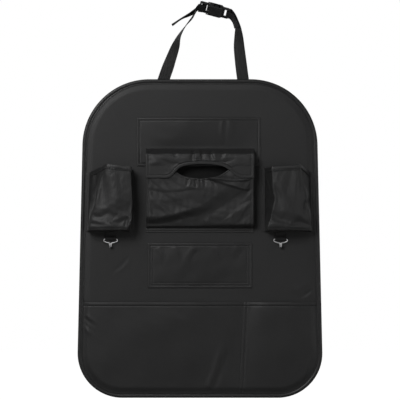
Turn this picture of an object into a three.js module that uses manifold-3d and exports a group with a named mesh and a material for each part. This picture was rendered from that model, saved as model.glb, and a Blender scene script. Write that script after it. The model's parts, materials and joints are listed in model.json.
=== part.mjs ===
// A car seat back organizer: a bound, padded panel with sewn pockets, two wire hooks under the side
// pockets, and a webbing strap with a side release buckle that closes round the headrest posts.
// Millimetres, +Z up. The front faces -Y, and the lining's rear face lies in the plane Y = 0.
import * as THREE from "three";
import { mergeVertices } from "three/addons/utils/BufferGeometryUtils.js";
import Module from "manifold-3d";

const wasm = await Module();
wasm.setup();

// Clearances
const GAP = 0.3; // between sewn or cut neighbours
const RUNNING_GAP = 0.5; // round a bar that turns, and round the prongs in their socket

// Panel
const PANEL_HEIGHT = 542;
const PANEL_TOP_WIDTH = 395; // at the virtual corners, before rounding
const PANEL_BOTTOM_WIDTH = 420;
const TOP_CORNER_RADIUS = 114;
const BOTTOM_CORNER_RADIUS = 76;
const CORNER_STEPS = 12;
const COVER_THICKNESS = 1.2; // leatherette
const FOAM_THICKNESS = 3;
const LINING_THICKNESS = 0.8;
const BINDING_WIDTH = 8;
const BINDING_THICKNESS = 0.8;
const BINDING_ROUND = 1.5;
const RIM_SLOPE = 1; // where the lining steps in front of the binding's rear leg

// Pocket sheets
const SHEET = 1.2;
const SEAM = 4; // flat sewn rim of a patch pocket
const PATCH_SWELL = 9; // how far a patch pocket's mouth stands off the panel

// Upper pocket
const UPPER_LEFT = -107;
const UPPER_RIGHT = 103;
const UPPER_TOP = 205;
const UPPER_BOTTOM = 123;

// Tissue pouch and flap
const POUCH_HALF_WIDTH = 91.5;
const POUCH_TOP = 128;
const POUCH_BOTTOM = 11;
const POUCH_DEPTH = 21;
const POUCH_DEPTH_BOTTOM = 4.5;
const POUCH_UPRIGHT = 95; // above this height the pouch's front is parallel to the panel
const POUCH_FOOT = 8;
const SCOOP_LEFT = -40;
const SCOOP_RIGHT = 43;
const SCOOP_SIDE_HEIGHT = 114.5;
const SCOOP_LOW_HEIGHT = 103;
const FLAP_TOP = 147;
const FLAP_FOOT = 6;
const FLAP_SLOPE = 2;
const FLAP_BOTTOM = 103;
const ARCH_LEFT = -53;
const ARCH_RIGHT = 65;
const ARCH_TOP = 126.5;
const TAPE_WIDTH = 20;
const TAPE_HEIGHT = 14;
const TAPE_THICKNESS = 1;
const TAPE_INSET = 6; // from the flap's side and lower edge

// Lower pocket
const LOWER_HALF_WIDTH = 88.5;
const LOWER_TOP = -8;
const LOWER_BOTTOM = -84;

// Bottom pocket
const BOTTOM_MOUTH = -108.5;
const DIVIDER_TOP = 80.5;
const DIVIDER_BOTTOM = 73;

// Side pockets: distances from the middle of the panel
const SIDE_BASE = 12.7;
const SIDE_FOOT = 5;
const SIDE_DEPTH_BASE = 38;
const SIDE_DEPTH_MOUTH = 42;
const SIDE_CROWN = 3;
const SIDE_STEPS = 6;
const HEM_HEIGHT = 8;
const HEM_THICKNESS = 1;
const LEFT_SIDE = { side: -1, mouthOuter: 157, baseOuter: 190, mouthInner: 114, baseInner: 122 };
const RIGHT_SIDE = { side: 1, mouthOuter: 167, baseOuter: 189, mouthInner: 121, baseInner: 114 };
const MOUTH_OUTER_FOOT = 111; // heights of the mouth's edge along the wall
const MOUTH_OUTER_FOLD = 126;
const MOUTH_INNER_FOLD = 121;
const MOUTH_INNER_FOOT = 119;

// Hooks
const WIRE_RADIUS = 0.9;
const WIRE_SIDES = 8;
const WIRE_STEPS = 64;
const HOOK_HALF_WIDTH = 11.4;
const HOOK_SHOULDER = 3.4;
const HOOK_NECK = 7;
const HOOK_STEM = 9.5;
const HOOK_BEND_RADIUS = 3.8;
const HOOK_TIP_RISE = 2.4;
const HOOK_WIRE_SPREAD = 1.15; // half the distance between the stem's two wires
const TAB_WIDTH = 19;
const TAB_THICKNESS = 1.2;
const TAB_TOP = 11.2;
const TAB_NECK = 4.5;
const EYE_HEIGHT = -1;
const LEFT_HOOK_X = -152;
const RIGHT_HOOK_X = 137;

// Webbing
const WEBBING_WIDTH = 20;
const WEBBING_THICKNESS = 1.3;
const SEWN_END = 250; // height of the straps' lower ends behind the panel
const LAP_SPREAD = 1.7; // between the centres of the two sewn layers

// Buckle: along its axis from the socket's mouth, across it, and through it
const BUCKLE_X = 14.4;
const BUCKLE_Y = -4;
const BUCKLE_Z = 391.5;
const BUCKLE_SLOPE = 15; // degrees, down to the right
const BUCKLE_ROLL = 58; // degrees, of its wide face away from the front
const SOCKET_LENGTH = 25;
const SOCKET_WIDTH = 28;
const SOCKET_THICKNESS = 9;
const SOCKET_WALL = 1.8;
const SOCKET_BEVEL = 1;
const WINDOW_START = 8;
const WINDOW_END = 19;
const WINDOW_HEIGHT = 6;
const LOOP_WIDTH = 27;
const LOOP_SLOT = 5.5;
const LOOP_BAR = 4;
const LOOP_FRONT = 3;
const BAR_THICKNESS = 4.4;
const SLOT_WIDTH = 22;
const LADDER_SLOT = 3.5;
const LADDER_BAR = 3.5;
const LADDER_FLANGE = 2.2;
const LADDER_END_BAR = 3;
const LADDER_WIDTH = 27;
const PRONG_LENGTH = 17;
const PRONG_WIDTH = 3;
const PRONG_GUIDE = 4;
const BARB_START = 9.5;
const BARB_REACH = 1.4; // how far a barb stands into its window

// Worked out from the values above
const FRONT = COVER_THICKNESS + FOAM_THICKNESS + LINING_THICKNESS;
const TOP = PANEL_HEIGHT / 2;
const BOTTOM = -PANEL_HEIGHT / 2;
const BINDING_EDGE = BINDING_WIDTH + GAP;
const SIDE_ANGLE = Math.atan((PANEL_BOTTOM_WIDTH - PANEL_TOP_WIDTH) / 2 / PANEL_HEIGHT);
const EYE_INNER = WIRE_RADIUS + RUNNING_GAP;
const EYE_OUTER = EYE_INNER + TAB_THICKNESS;
const EYE_Y = -(FRONT + EYE_OUTER);
const POUCH_FACE = -(FRONT + POUCH_DEPTH);
const FLAP_BACK = POUCH_FACE - 2 * TAPE_THICKNESS;

const finish = (color, roughness, metalness = 0) =>
  new THREE.MeshStandardMaterial({ color, roughness, metalness });
const LEATHERETTE = finish(0x2b2b2c, 0.55);
const FOAM = finish(0x55555a, 0.95);
const LINING = finish(0x222223, 0.9);
const BINDING = finish(0x262627, 0.6);
const ELASTIC = finish(0x1c1c1d, 0.85);
const WEBBING = finish(0x232324, 0.8);
const PLASTIC = finish(0x1e1e1f, 0.45);
const STEEL = finish(0xc9cacc, 0.25, 1);

const part = new THREE.Group();

function addMesh(name, geometry, material, parent = part) {
  const mesh = new THREE.Mesh(geometry, material);
  mesh.name = name;
  parent.add(mesh);
  return mesh;
}

const mix = THREE.MathUtils.lerp;
const rad = THREE.MathUtils.degToRad;
const clamp01 = (value) => THREE.MathUtils.clamp(value, 0, 1);
const vec = (x, y, z) => new THREE.Vector3(x, y, z);

// A list of count + 1 numbers from start to end.
const steps = (start, end, count) =>
  Array.from({ length: count + 1 }, (_, i) => mix(start, end, i / count));

// Signed volume of an indexed geometry, which says whether its faces point outwards.
function signedVolume(positions, index) {
  const at = (i) => new THREE.Vector3().fromArray(positions, 3 * i);
  let sum = 0;
  for (let i = 0; i < index.length; i += 3)
    sum += at(index[i]).dot(at(index[i + 1]).cross(at(index[i + 2]))) / 6;
  return sum;
}

function closedGeometry(points, index) {
  const positions = points.flatMap((p) => [p.x, p.y, p.z]);
  if (signedVolume(positions, index) < 0) index.reverse();
  const geometry = new THREE.BufferGeometry();
  geometry.setAttribute("position", new THREE.Float32BufferAttribute(positions, 3));
  geometry.setIndex(index);
  return geometry;
}

// Triangles that close one ring, turned the same way as the ring. flatten projects it to two axes, and
// a ring without one is convex.
function capTriangles(ring, flatten) {
  if (!flatten) return ring.slice(2).map((_, i) => [0, i + 1, i + 2]);
  const contour = ring.map((p) => new THREE.Vector2(...flatten(p)));
  const turn = Math.sign(THREE.ShapeUtils.area(contour));
  return THREE.ShapeUtils.triangulateShape(contour, []).map((triangle) => {
    const area = THREE.ShapeUtils.area(triangle.map((i) => contour[i]));
    return Math.sign(area) === turn ? triangle : [triangle[0], triangle[2], triangle[1]];
  });
}

// A closed body through rings of equally many points. A looped skin joins its last ring to its first.
function skin(rings, { looped = false, flatten = (p) => [p.x, p.z] } = {}) {
  const size = rings[0].length;
  const index = [];
  const spans = looped ? rings.length : rings.length - 1;
  for (let i = 0; i < spans; i++) {
    const a = i * size;
    const b = ((i + 1) % rings.length) * size;
    for (let j = 0; j < size; j++) {
      const k = (j + 1) % size;
      index.push(a + j, b + j, b + k, a + j, b + k, a + k);
    }
  }
  if (!looped) {
    const end = (rings.length - 1) * size;
    for (const [i, j, k] of capTriangles(rings[0], flatten)) index.push(i, j, k);
    for (const [i, j, k] of capTriangles(rings.at(-1), flatten)) index.push(end + i, end + k, end + j);
  }
  return closedGeometry(rings.flat(), index);
}

// Booleans between closed geometries
function toSolid(geometry) {
  const bare = geometry.clone();
  bare.deleteAttribute("normal");
  bare.deleteAttribute("uv");
  const merged = mergeVertices(bare, 1e-4);
  return new wasm.Manifold(
    new wasm.Mesh({
      numProp: 3,
      vertProperties: merged.attributes.position.array,
      triVerts: new Uint32Array(merged.index.array),
    }),
  );
}

function toGeometry(solid) {
  const mesh = solid.getMesh();
  const geometry = new THREE.BufferGeometry();
  geometry.setAttribute("position", new THREE.BufferAttribute(mesh.vertProperties, 3));
  geometry.setIndex(new THREE.BufferAttribute(mesh.triVerts, 1));
  return geometry;
}

const join = (first, ...others) =>
  toGeometry(others.reduce((sum, g) => sum.add(toSolid(g)), toSolid(first)));
const cut = (first, ...others) =>
  toGeometry(others.reduce((sum, g) => sum.subtract(toSolid(g)), toSolid(first)));

// A box between two corners.
function block(x0, x1, y0, y1, z0, z1) {
  const geometry = new THREE.BoxGeometry(x1 - x0, y1 - y0, z1 - z0);
  return geometry.translate((x0 + x1) / 2, (y0 + y1) / 2, (z0 + z1) / 2);
}

// A prism with its outline in the XZ plane, from y0 to y1.
function prism(outline, y0, y1) {
  return skin([y0, y1].map((y) => outline.map(([x, z]) => vec(x, y, z))));
}

// An open line of 2D points moved sideways, to the right of its direction, with mitred corners.
function offsetLine(points, distance) {
  const sides = points.slice(1).map((p, i) => {
    const along = new THREE.Vector2(p[0] - points[i][0], p[1] - points[i][1]).normalize();
    return new THREE.Vector2(along.y, -along.x);
  });
  return points.map(([x, y], i) => {
    const before = sides[Math.max(i - 1, 0)];
    const after = sides[Math.min(i, sides.length - 1)];
    const half = before.clone().add(after).normalize();
    const reach = distance / half.dot(after);
    return [x + half.x * reach, y + half.y * reach];
  });
}

// The closed section of a band that follows a line, between two sideways distances.
const bandSection = (points, near, far) => [
  ...offsetLine(points, near),
  ...offsetLine(points, far).reverse(),
];

// The panel's outline, a tapered rectangle with round corners, moved in by inset.
function sideAt(z) {
  return PANEL_TOP_WIDTH / 2 + (TOP - z) * Math.tan(SIDE_ANGLE);
}

const cornerCentre = (z, radius) => sideAt(z) - radius / Math.cos(SIDE_ANGLE);

function panelOutline(inset) {
  const points = [];
  const corner = (cx, cz, radius, from, to) => {
    for (const angle of steps(from, to, CORNER_STEPS))
      points.push([cx + (radius - inset) * Math.cos(angle), cz + (radius - inset) * Math.sin(angle)]);
  };
  const low = BOTTOM + BOTTOM_CORNER_RADIUS;
  const high = TOP - TOP_CORNER_RADIUS;
  const lowX = cornerCentre(low, BOTTOM_CORNER_RADIUS);
  const highX = cornerCentre(high, TOP_CORNER_RADIUS);
  const right = Math.PI / 2;
  corner(lowX, low, BOTTOM_CORNER_RADIUS, -right, SIDE_ANGLE);
  corner(highX, high, TOP_CORNER_RADIUS, SIDE_ANGLE, right);
  corner(-highX, high, TOP_CORNER_RADIUS, right, 2 * right - SIDE_ANGLE);
  corner(-lowX, low, BOTTOM_CORNER_RADIUS, 2 * right - SIDE_ANGLE, 3 * right);
  return points;
}

// Half the panel's width at a height, moved in by inset, below the top corners.
function halfWidth(z, inset) {
  const low = BOTTOM + BOTTOM_CORNER_RADIUS;
  if (z > low) return sideAt(z) - inset / Math.cos(SIDE_ANGLE);
  const radius = BOTTOM_CORNER_RADIUS - inset;
  const reach = Math.sqrt(Math.max(radius ** 2 - (z - low) ** 2, 0));
  return cornerCentre(low, BOTTOM_CORNER_RADIUS) + reach;
}

// A plate that follows the panel's outline through pairs of inset and y.
const outlinePlate = (pairs) =>
  skin(pairs.map(([inset, y]) => panelOutline(inset).map(([x, z]) => vec(x, y, z))));

// Panel
function buildPanel() {
  const edge = BINDING_THICKNESS + GAP;
  const coverBack = -(FOAM_THICKNESS + LINING_THICKNESS);
  const rimBack = -BINDING_THICKNESS;
  const rimLining = rimBack - LINING_THICKNESS;
  const step = BINDING_EDGE;
  addMesh("front_cover", outlinePlate([[edge, -FRONT], [edge, coverBack]]), LEATHERETTE);
  addMesh(
    "foam_sheet",
    outlinePlate([
      [edge, coverBack],
      [edge, rimLining],
      [step + GAP, rimLining],
      [step + RIM_SLOPE + GAP, -LINING_THICKNESS],
    ]),
    FOAM,
  );
  addMesh(
    "back_lining",
    cut(
      outlinePlate([[edge, rimLining], [edge, rimBack], [step, rimBack], [step + RIM_SLOPE, 0]]),
      outlinePlate([
        [step, rimLining - 1],
        [step, rimLining],
        [step + RIM_SLOPE, -LINING_THICKNESS],
      ]),
    ),
    LINING,
  );
  const section = [
    [0, -FRONT + BINDING_ROUND / 2],
    [BINDING_ROUND / 4, -FRONT - BINDING_ROUND / 4],
    [BINDING_ROUND, -FRONT - BINDING_THICKNESS],
    [BINDING_WIDTH, -FRONT - BINDING_THICKNESS],
    [BINDING_WIDTH, -FRONT],
    [BINDING_THICKNESS, -FRONT],
    [BINDING_THICKNESS, rimBack],
    [BINDING_WIDTH, rimBack],
    [BINDING_WIDTH, 0],
    [BINDING_ROUND, 0],
    [BINDING_ROUND / 4, -BINDING_ROUND / 4],
    [0, -BINDING_ROUND],
  ];
  const rings = section.map(([inset, y]) => panelOutline(inset).map(([x, z]) => vec(x, y, z)));
  addMesh("edge_binding", skin(rings, { looped: true }), BINDING);
}

// A sewn sheet on the panel, from its place at(u, v) and its lift(u, v) off the panel.
function sewnSheet(us, vs, at, lift, thickness = SHEET) {
  const layer = (extra) =>
    vs.map((v) =>
      us.map((u) => {
        const [x, z] = at(u, v);
        return vec(x, -(FRONT + lift(u, v) + extra), z);
      }),
    );
  const points = [...layer(0).flat(), ...layer(thickness).flat()];
  const columns = us.length;
  const front = columns * vs.length;
  const index = [];
  const quad = (a, b, c, d) => index.push(a, b, c, a, c, d);
  for (let j = 0; j < vs.length - 1; j++)
    for (let i = 0; i < columns - 1; i++) {
      const a = j * columns + i;
      quad(a, a + 1, a + columns + 1, a + columns);
      quad(front + a + columns, front + a + columns + 1, front + a + 1, front + a);
    }
  const last = (vs.length - 1) * columns;
  for (let i = 0; i < columns - 1; i++) {
    quad(i + 1, i, front + i, front + i + 1);
    quad(last + i, last + i + 1, front + last + i + 1, front + last + i);
  }
  for (let j = 0; j < vs.length - 1; j++) {
    const a = j * columns;
    const b = a + columns - 1;
    quad(a, a + columns, front + a + columns, front + a);
    quad(b + columns, b, front + b, front + b + columns);
  }
  return closedGeometry(points, index);
}

// How far a sheet rises from a seam: 0 on the sewn rim, 1 from span away.
const swell = (distance, span) => Math.sin((Math.PI / 2) * clamp01((distance - SEAM) / (span - SEAM)));

// Places along a line from start to end with a sewn rim at each end that is asked for.
function seamedPlaces(start, end, count, rimAtEnd = true) {
  const inner = steps(start + SEAM, rimAtEnd ? end - SEAM : end, count);
  return rimAtEnd ? [start, ...inner, end] : [start, ...inner];
}

function patchPocket(name, left, right, bottom, top, sewnUpTo = bottom) {
  const us = seamedPlaces(left, right, 12);
  const vs = seamedPlaces(sewnUpTo, top, 6, false);
  if (sewnUpTo > bottom) vs.unshift(bottom);
  const span = (right - left) / 2;
  const lift = (x, z) =>
    PATCH_SWELL * swell(Math.min(x - left, right - x), span) * swell(z - sewnUpTo, top - sewnUpTo);
  addMesh(name, sewnSheet(us, vs, (x, z) => [x, z], lift), LEATHERETTE);
}

function buildBottomPocket() {
  const floor = BOTTOM + BINDING_EDGE;
  const heights = seamedPlaces(floor, BOTTOM_MOUTH, 12, false);
  const dividerAt = (z) => mix(DIVIDER_BOTTOM, DIVIDER_TOP, (z - floor) / (BOTTOM_MOUTH - floor));
  const columns = 10;
  // u runs from 0 to 1 over the left compartment and from 1 to 2 over the right one.
  const rims = [0.02, 0.98];
  const left = [0, ...steps(rims[0], rims[1], columns), 1];
  const right = left.slice(1).map((u) => u + 1);
  const compartment = (u, z) => {
    const edge = halfWidth(z, BINDING_EDGE);
    return u <= 1 ? [-edge, dividerAt(z), u] : [dividerAt(z), edge, u - 1];
  };
  const at = (u, z) => {
    const [from, to, share] = compartment(u, z);
    const rim = SEAM / (to - from);
    const inner = (share - rims[0]) / (rims[1] - rims[0]);
    if (share <= 0 || share >= 1) return [mix(from, to, share), z];
    return [mix(from, to, mix(rim, 1 - rim, inner)), z];
  };
  const lift = (u, z) => {
    const [from, to] = compartment(u, z);
    const [x] = at(u, z);
    const across = swell(Math.min(x - from, to - x), (to - from) / 2);
    return PATCH_SWELL * across * swell(z - floor, BOTTOM_MOUTH - floor);
  };
  addMesh("bottom_pocket", sewnSheet([...left, ...right], heights, at, lift), LEATHERETTE);
}

// Tissue pouch: a folded sheet with its feet turned in, open at the top, with a scooped front edge
function pouchBlock(inset, top, back) {
  const rows = [
    [POUCH_BOTTOM, POUCH_DEPTH_BOTTOM],
    [mix(POUCH_BOTTOM, POUCH_UPRIGHT, 0.35), mix(POUCH_DEPTH_BOTTOM, POUCH_DEPTH, 0.5)],
    [mix(POUCH_BOTTOM, POUCH_UPRIGHT, 0.7), mix(POUCH_DEPTH_BOTTOM, POUCH_DEPTH, 0.88)],
    [POUCH_UPRIGHT, POUCH_DEPTH],
    [top, POUCH_DEPTH],
  ];
  rows[0][0] += inset;
  const x = POUCH_HALF_WIDTH - inset;
  return skin(
    rows.map(([z, depth]) => {
      const front = -(FRONT + depth - inset);
      return [vec(-x, back, z), vec(-x, front, z), vec(x, front, z), vec(x, back, z)];
    }),
    { flatten: (p) => [p.x, p.y] },
  );
}

// Points of an arc-like curve through three places in the XZ plane.
function curvePoints(places, count) {
  const curve = new THREE.SplineCurve(places.map(([x, z]) => new THREE.Vector2(x, z)));
  return curve.getPoints(count).map((p) => [p.x, p.y]);
}

function buildTissuePouch() {
  const high = POUCH_TOP + 10;
  const middle = (SCOOP_LEFT + SCOOP_RIGHT) / 2;
  const scoop = [
    [SCOOP_LEFT - 4, high],
    ...curvePoints(
      [
        [SCOOP_LEFT, SCOOP_SIDE_HEIGHT],
        [mix(SCOOP_LEFT, middle, 0.5), mix(SCOOP_SIDE_HEIGHT, SCOOP_LOW_HEIGHT, 0.78)],
        [middle, SCOOP_LOW_HEIGHT],
        [mix(SCOOP_RIGHT, middle, 0.5), mix(SCOOP_SIDE_HEIGHT, SCOOP_LOW_HEIGHT, 0.78)],
        [SCOOP_RIGHT, SCOOP_SIDE_HEIGHT],
      ],
      16,
    ),
    [SCOOP_RIGHT + 4, high],
  ];
  const wide = POUCH_HALF_WIDTH + 10;
  const footX = POUCH_HALF_WIDTH - POUCH_FOOT;
  const footFace = -(FRONT + SHEET);
  const pouch = cut(
    pouchBlock(0, POUCH_TOP, -FRONT),
    pouchBlock(SHEET, high, footFace),
    block(-footX, footX, footFace - 1, -FRONT + 1, POUCH_BOTTOM + POUCH_FOOT, high),
    block(-wide, wide, footFace - GAP, 0, UPPER_BOTTOM - GAP, high),
    prism(scoop, POUCH_FACE - 5, POUCH_FACE + 5),
  );
  addMesh("tissue_pocket", pouch, LEATHERETTE);
}

function buildFlap() {
  const rest = -(FRONT + SHEET); // it is sewn on over the upper pocket's sheet
  const line = [
    [rest, FLAP_TOP + FLAP_FOOT],
    [rest, FLAP_TOP],
    [FLAP_BACK, FLAP_TOP - FLAP_SLOPE],
    [FLAP_BACK, FLAP_BOTTOM],
  ];
  const section = bandSection(line, 0, SHEET);
  const sheet = skin(
    [-POUCH_HALF_WIDTH, POUCH_HALF_WIDTH].map((x) => section.map(([y, z]) => vec(x, y, z))),
    { flatten: (p) => [p.y, p.z] },
  );
  const middle = (ARCH_LEFT + ARCH_RIGHT) / 2;
  const arch = [
    [ARCH_LEFT, FLAP_BOTTOM - 5],
    ...curvePoints(
      [
        [ARCH_LEFT, FLAP_BOTTOM + 1],
        [mix(ARCH_LEFT, middle, 0.35), mix(FLAP_BOTTOM, ARCH_TOP, 0.72)],
        [middle, ARCH_TOP],
        [mix(ARCH_RIGHT, middle, 0.35), mix(FLAP_BOTTOM, ARCH_TOP, 0.72)],
        [ARCH_RIGHT, FLAP_BOTTOM + 1],
      ],
      20,
    ),
    [ARCH_RIGHT, FLAP_BOTTOM - 5],
  ];
  addMesh("tissue_flap", cut(sheet, prism(arch, FLAP_BACK - 5, FLAP_BACK + 1)), LEATHERETTE);
}

// Hook and loop tape, in pairs between the pouch and its flap
function buildFlapTapes() {
  const outer = POUCH_HALF_WIDTH - TAPE_INSET;
  const low = FLAP_BOTTOM + TAPE_INSET;
  for (const [label, side] of [["left", -1], ["right", 1]]) {
    const ends = [side * outer, side * (outer - TAPE_WIDTH)].sort((a, b) => a - b);
    const tape = (back) => block(...ends, back - TAPE_THICKNESS, back, low, low + TAPE_HEIGHT);
    addMesh(`pouch_loop_tape_${label}`, tape(POUCH_FACE), ELASTIC);
    addMesh(`flap_hook_tape_${label}`, tape(POUCH_FACE - TAPE_THICKNESS), ELASTIC);
  }
}

// Side pockets
// The wall's line in plan at a share of its height, from its outer foot to its inner foot, with the
// height of its mouth at each point. side mirrors it, and the line keeps its direction.
function sideWallLine(pocket, share) {
  const outer = mix(pocket.baseOuter, pocket.mouthOuter, share ** 1.2);
  const inner = mix(pocket.baseInner, pocket.mouthInner, share);
  const depth = FRONT + mix(SIDE_DEPTH_BASE, SIDE_DEPTH_MOUTH, share);
  const crown = SIDE_CROWN * Math.sin(Math.PI * mix(0.15, 0.85, share));
  const footOuter = halfWidth(mix(SIDE_BASE, MOUTH_OUTER_FOOT, share), BINDING_EDGE);
  const footInner = pocket.baseInner - 3;
  const middle = (outer + inner) / 2;
  const points = [
    [footOuter, -FRONT, MOUTH_OUTER_FOOT],
    [footOuter - SIDE_FOOT, -FRONT, MOUTH_OUTER_FOOT],
    [outer, -depth, MOUTH_OUTER_FOLD],
    [middle, -(depth + crown), (MOUTH_OUTER_FOLD + MOUTH_INNER_FOLD) / 2],
    [inner, -depth, MOUTH_INNER_FOLD],
    [footInner, -FRONT, MOUTH_INNER_FOOT],
    [footInner - SIDE_FOOT, -FRONT, MOUTH_INNER_FOOT],
  ];
  const placed = points.map(([x, y, mouth]) => ({ at: [pocket.side * x, y], mouth }));
  return pocket.side < 0 ? placed : placed.reverse();
}

// Rings of a band that follows the side wall between two heights' shares.
function sideBand(pocket, shares, near, far, trim = 0) {
  return shares.map((share) => {
    const line = sideWallLine(pocket, share);
    const kept = trim ? line.slice(trim, -trim) : line;
    const plan = bandSection(kept.map((p) => p.at), near, far);
    const mouths = kept.map((p) => p.mouth);
    return plan.map(([x, y], i) => {
      const mouth = i < mouths.length ? mouths[i] : mouths[2 * mouths.length - 1 - i];
      return vec(x, y, mix(SIDE_BASE, mouth, share));
    });
  });
}

function buildSidePocket(label, pocket) {
  const inPlan = { flatten: (p) => [p.x, p.y] };
  const hemShare = 1 - HEM_HEIGHT / (MOUTH_INNER_FOLD - SIDE_BASE);
  const shares = [...steps(0, hemShare, SIDE_STEPS), 1];
  addMesh(`${label}_pocket_wall`, skin(sideBand(pocket, shares, 0, SHEET), inPlan), LEATHERETTE);
  const hem = sideBand(pocket, [hemShare, 1], SHEET + GAP + HEM_THICKNESS, SHEET + GAP, 1);
  const nearPanel = block(-PANEL_BOTTOM_WIDTH, PANEL_BOTTOM_WIDTH, -FRONT - 2 * SHEET, 0, BOTTOM, TOP);
  addMesh(`${label}_pocket_hem`, cut(skin(hem, inPlan), nearPanel), ELASTIC);
  const outside = offsetLine(sideWallLine(pocket, 0).map((p) => p.at), SHEET).slice(1, -1);
  outside[0] = [outside[0][0], -FRONT];
  outside[outside.length - 1] = [outside.at(-1)[0], -FRONT];
  const floor = [SIDE_BASE - SHEET, SIDE_BASE].map((z) => outside.map(([x, y]) => vec(x, y, z)));
  addMesh(`${label}_pocket_base`, skin(floor, inPlan), LEATHERETTE);
}

// Hook tab: webbing folded round the hook's bar, sewn flat above it
function buildHookTab(label, x) {
  const outline = new THREE.Shape();
  outline.moveTo(-FRONT, TAB_TOP);
  outline.lineTo(-FRONT, EYE_HEIGHT);
  outline.absarc(EYE_Y, EYE_HEIGHT, EYE_OUTER, 0, -Math.PI, true);
  outline.lineTo(EYE_Y - EYE_OUTER, EYE_HEIGHT + 1);
  outline.lineTo(-FRONT - 2 * TAB_THICKNESS, TAB_NECK);
  outline.lineTo(-FRONT - 2 * TAB_THICKNESS, TAB_TOP);
  outline.holes.push(new THREE.Path().absarc(EYE_Y, EYE_HEIGHT, EYE_INNER, 0, 2 * Math.PI));
  const geometry = new THREE.ExtrudeGeometry(outline, {
    depth: TAB_WIDTH,
    bevelEnabled: false,
    curveSegments: 8,
  });
  geometry.applyMatrix4(new THREE.Matrix4().makeBasis(vec(0, 1, 0), vec(0, 0, 1), vec(1, 0, 0)));
  addMesh(`${label}_hook_tab`, geometry.translate(x - TAB_WIDTH / 2, 0, 0), WEBBING);
}

// Hook: one closed loop of wire, a bar and two arms that meet in a double stem bent up to the front.
// Its own origin is the middle of the bar.
function hookWire() {
  const bend = (degrees) => [
    HOOK_WIRE_SPREAD,
    -HOOK_BEND_RADIUS * (1 - Math.cos(rad(degrees))),
    -HOOK_STEM - HOOK_BEND_RADIUS * Math.sin(rad(degrees)),
  ];
  const half = [
    [HOOK_HALF_WIDTH - 1.2, 0, -0.2],
    [HOOK_HALF_WIDTH, 0, -1.6],
    [HOOK_HALF_WIDTH - 0.2, 0, -HOOK_SHOULDER],
    [mix(HOOK_HALF_WIDTH, HOOK_WIRE_SPREAD, 0.5), 0, -mix(HOOK_SHOULDER, HOOK_NECK, 0.6)],
    [HOOK_WIRE_SPREAD + 0.8, 0, -HOOK_NECK + 0.4],
    [HOOK_WIRE_SPREAD, 0, -HOOK_NECK - 1],
    bend(0),
    bend(45),
    bend(90),
    bend(135),
    bend(180),
    [HOOK_WIRE_SPREAD, -2 * HOOK_BEND_RADIUS - 0.3, -HOOK_STEM + HOOK_TIP_RISE - 1],
  ];
  const tip = [0, -2 * HOOK_BEND_RADIUS - 0.5, -HOOK_STEM + HOOK_TIP_RISE];
  const mirrored = half.map(([x, y, z]) => [-x, y, z]).reverse();
  const route = [[0, 0, 0], ...half, tip, ...mirrored].map((p) => vec(...p));
  const curve = new THREE.CatmullRomCurve3(route, true, "centripetal");
  const frames = curve.computeFrenetFrames(WIRE_STEPS, true);
  const rings = steps(0, 1, WIRE_STEPS)
    .slice(0, -1)
    .map((t, i) => {
      const centre = curve.getPointAt(t);
      return steps(0, 2 * Math.PI, WIRE_SIDES)
        .slice(0, -1)
        .map((a) =>
          centre
            .clone()
            .addScaledVector(frames.normals[i], WIRE_RADIUS * Math.cos(a))
            .addScaledVector(frames.binormals[i], WIRE_RADIUS * Math.sin(a)),
        );
    });
  return skin(rings, { looped: true });
}

function buildHook(label, x) {
  const hook = addMesh(`${label}_hook`, hookWire(), STEEL);
  hook.position.set(x, EYE_Y, EYE_HEIGHT);
}

// Webbing: a flat strap through stations, each a centre and the direction across the strap
function webbing(stations, perStation = 3) {
  const curve = new THREE.CatmullRomCurve3(stations.map((s) => s.at), false, "centripetal");
  const count = (stations.length - 1) * perStation;
  const frames = steps(0, 1, count).map((t) => {
    const place = t * (stations.length - 1);
    const i = Math.min(Math.floor(place), stations.length - 2);
    const across = stations[i].across.clone().lerp(stations[i + 1].across, place - i);
    const along = curve.getTangent(t);
    across.addScaledVector(along, -across.dot(along)).normalize();
    return { at: curve.getPoint(t), across, through: along.clone().cross(across) };
  });
  return frames;
}

const strapGeometry = (frames) =>
  skin(
    frames.map(({ at, across, through }) =>
      [[-1, -1], [1, -1], [1, 1], [-1, 1]].map(([a, b]) =>
        at
          .clone()
          .addScaledVector(across, (a * WEBBING_WIDTH) / 2)
          .addScaledVector(through, (b * WEBBING_THICKNESS) / 2),
      ),
    ),
    { flatten: null },
  );

// The buckle's own axes: along it, across it, and through it towards the front and down
const slope = rad(BUCKLE_SLOPE);
const roll = rad(BUCKLE_ROLL);
const buckleAlong = vec(Math.cos(slope), 0, -Math.sin(slope));
const buckleAcross = vec(Math.sin(slope), 0, Math.cos(slope))
  .multiplyScalar(Math.cos(roll))
  .add(vec(0, -Math.sin(roll), 0));
const buckleThrough = buckleAlong.clone().cross(buckleAcross);
const buckleFrame = new THREE.Matrix4()
  .makeBasis(buckleAlong, buckleAcross, buckleThrough)
  .setPosition(BUCKLE_X, BUCKLE_Y, BUCKLE_Z);

// A webbing station given along and through the buckle.
const inBuckle = ([along, through]) => ({
  at: vec(along, 0, through).applyMatrix4(buckleFrame),
  across: buckleAcross,
});
const station = (x, y, z, ax, ay, az) => ({ at: vec(x, y, z), across: vec(ax, ay, az) });

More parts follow.
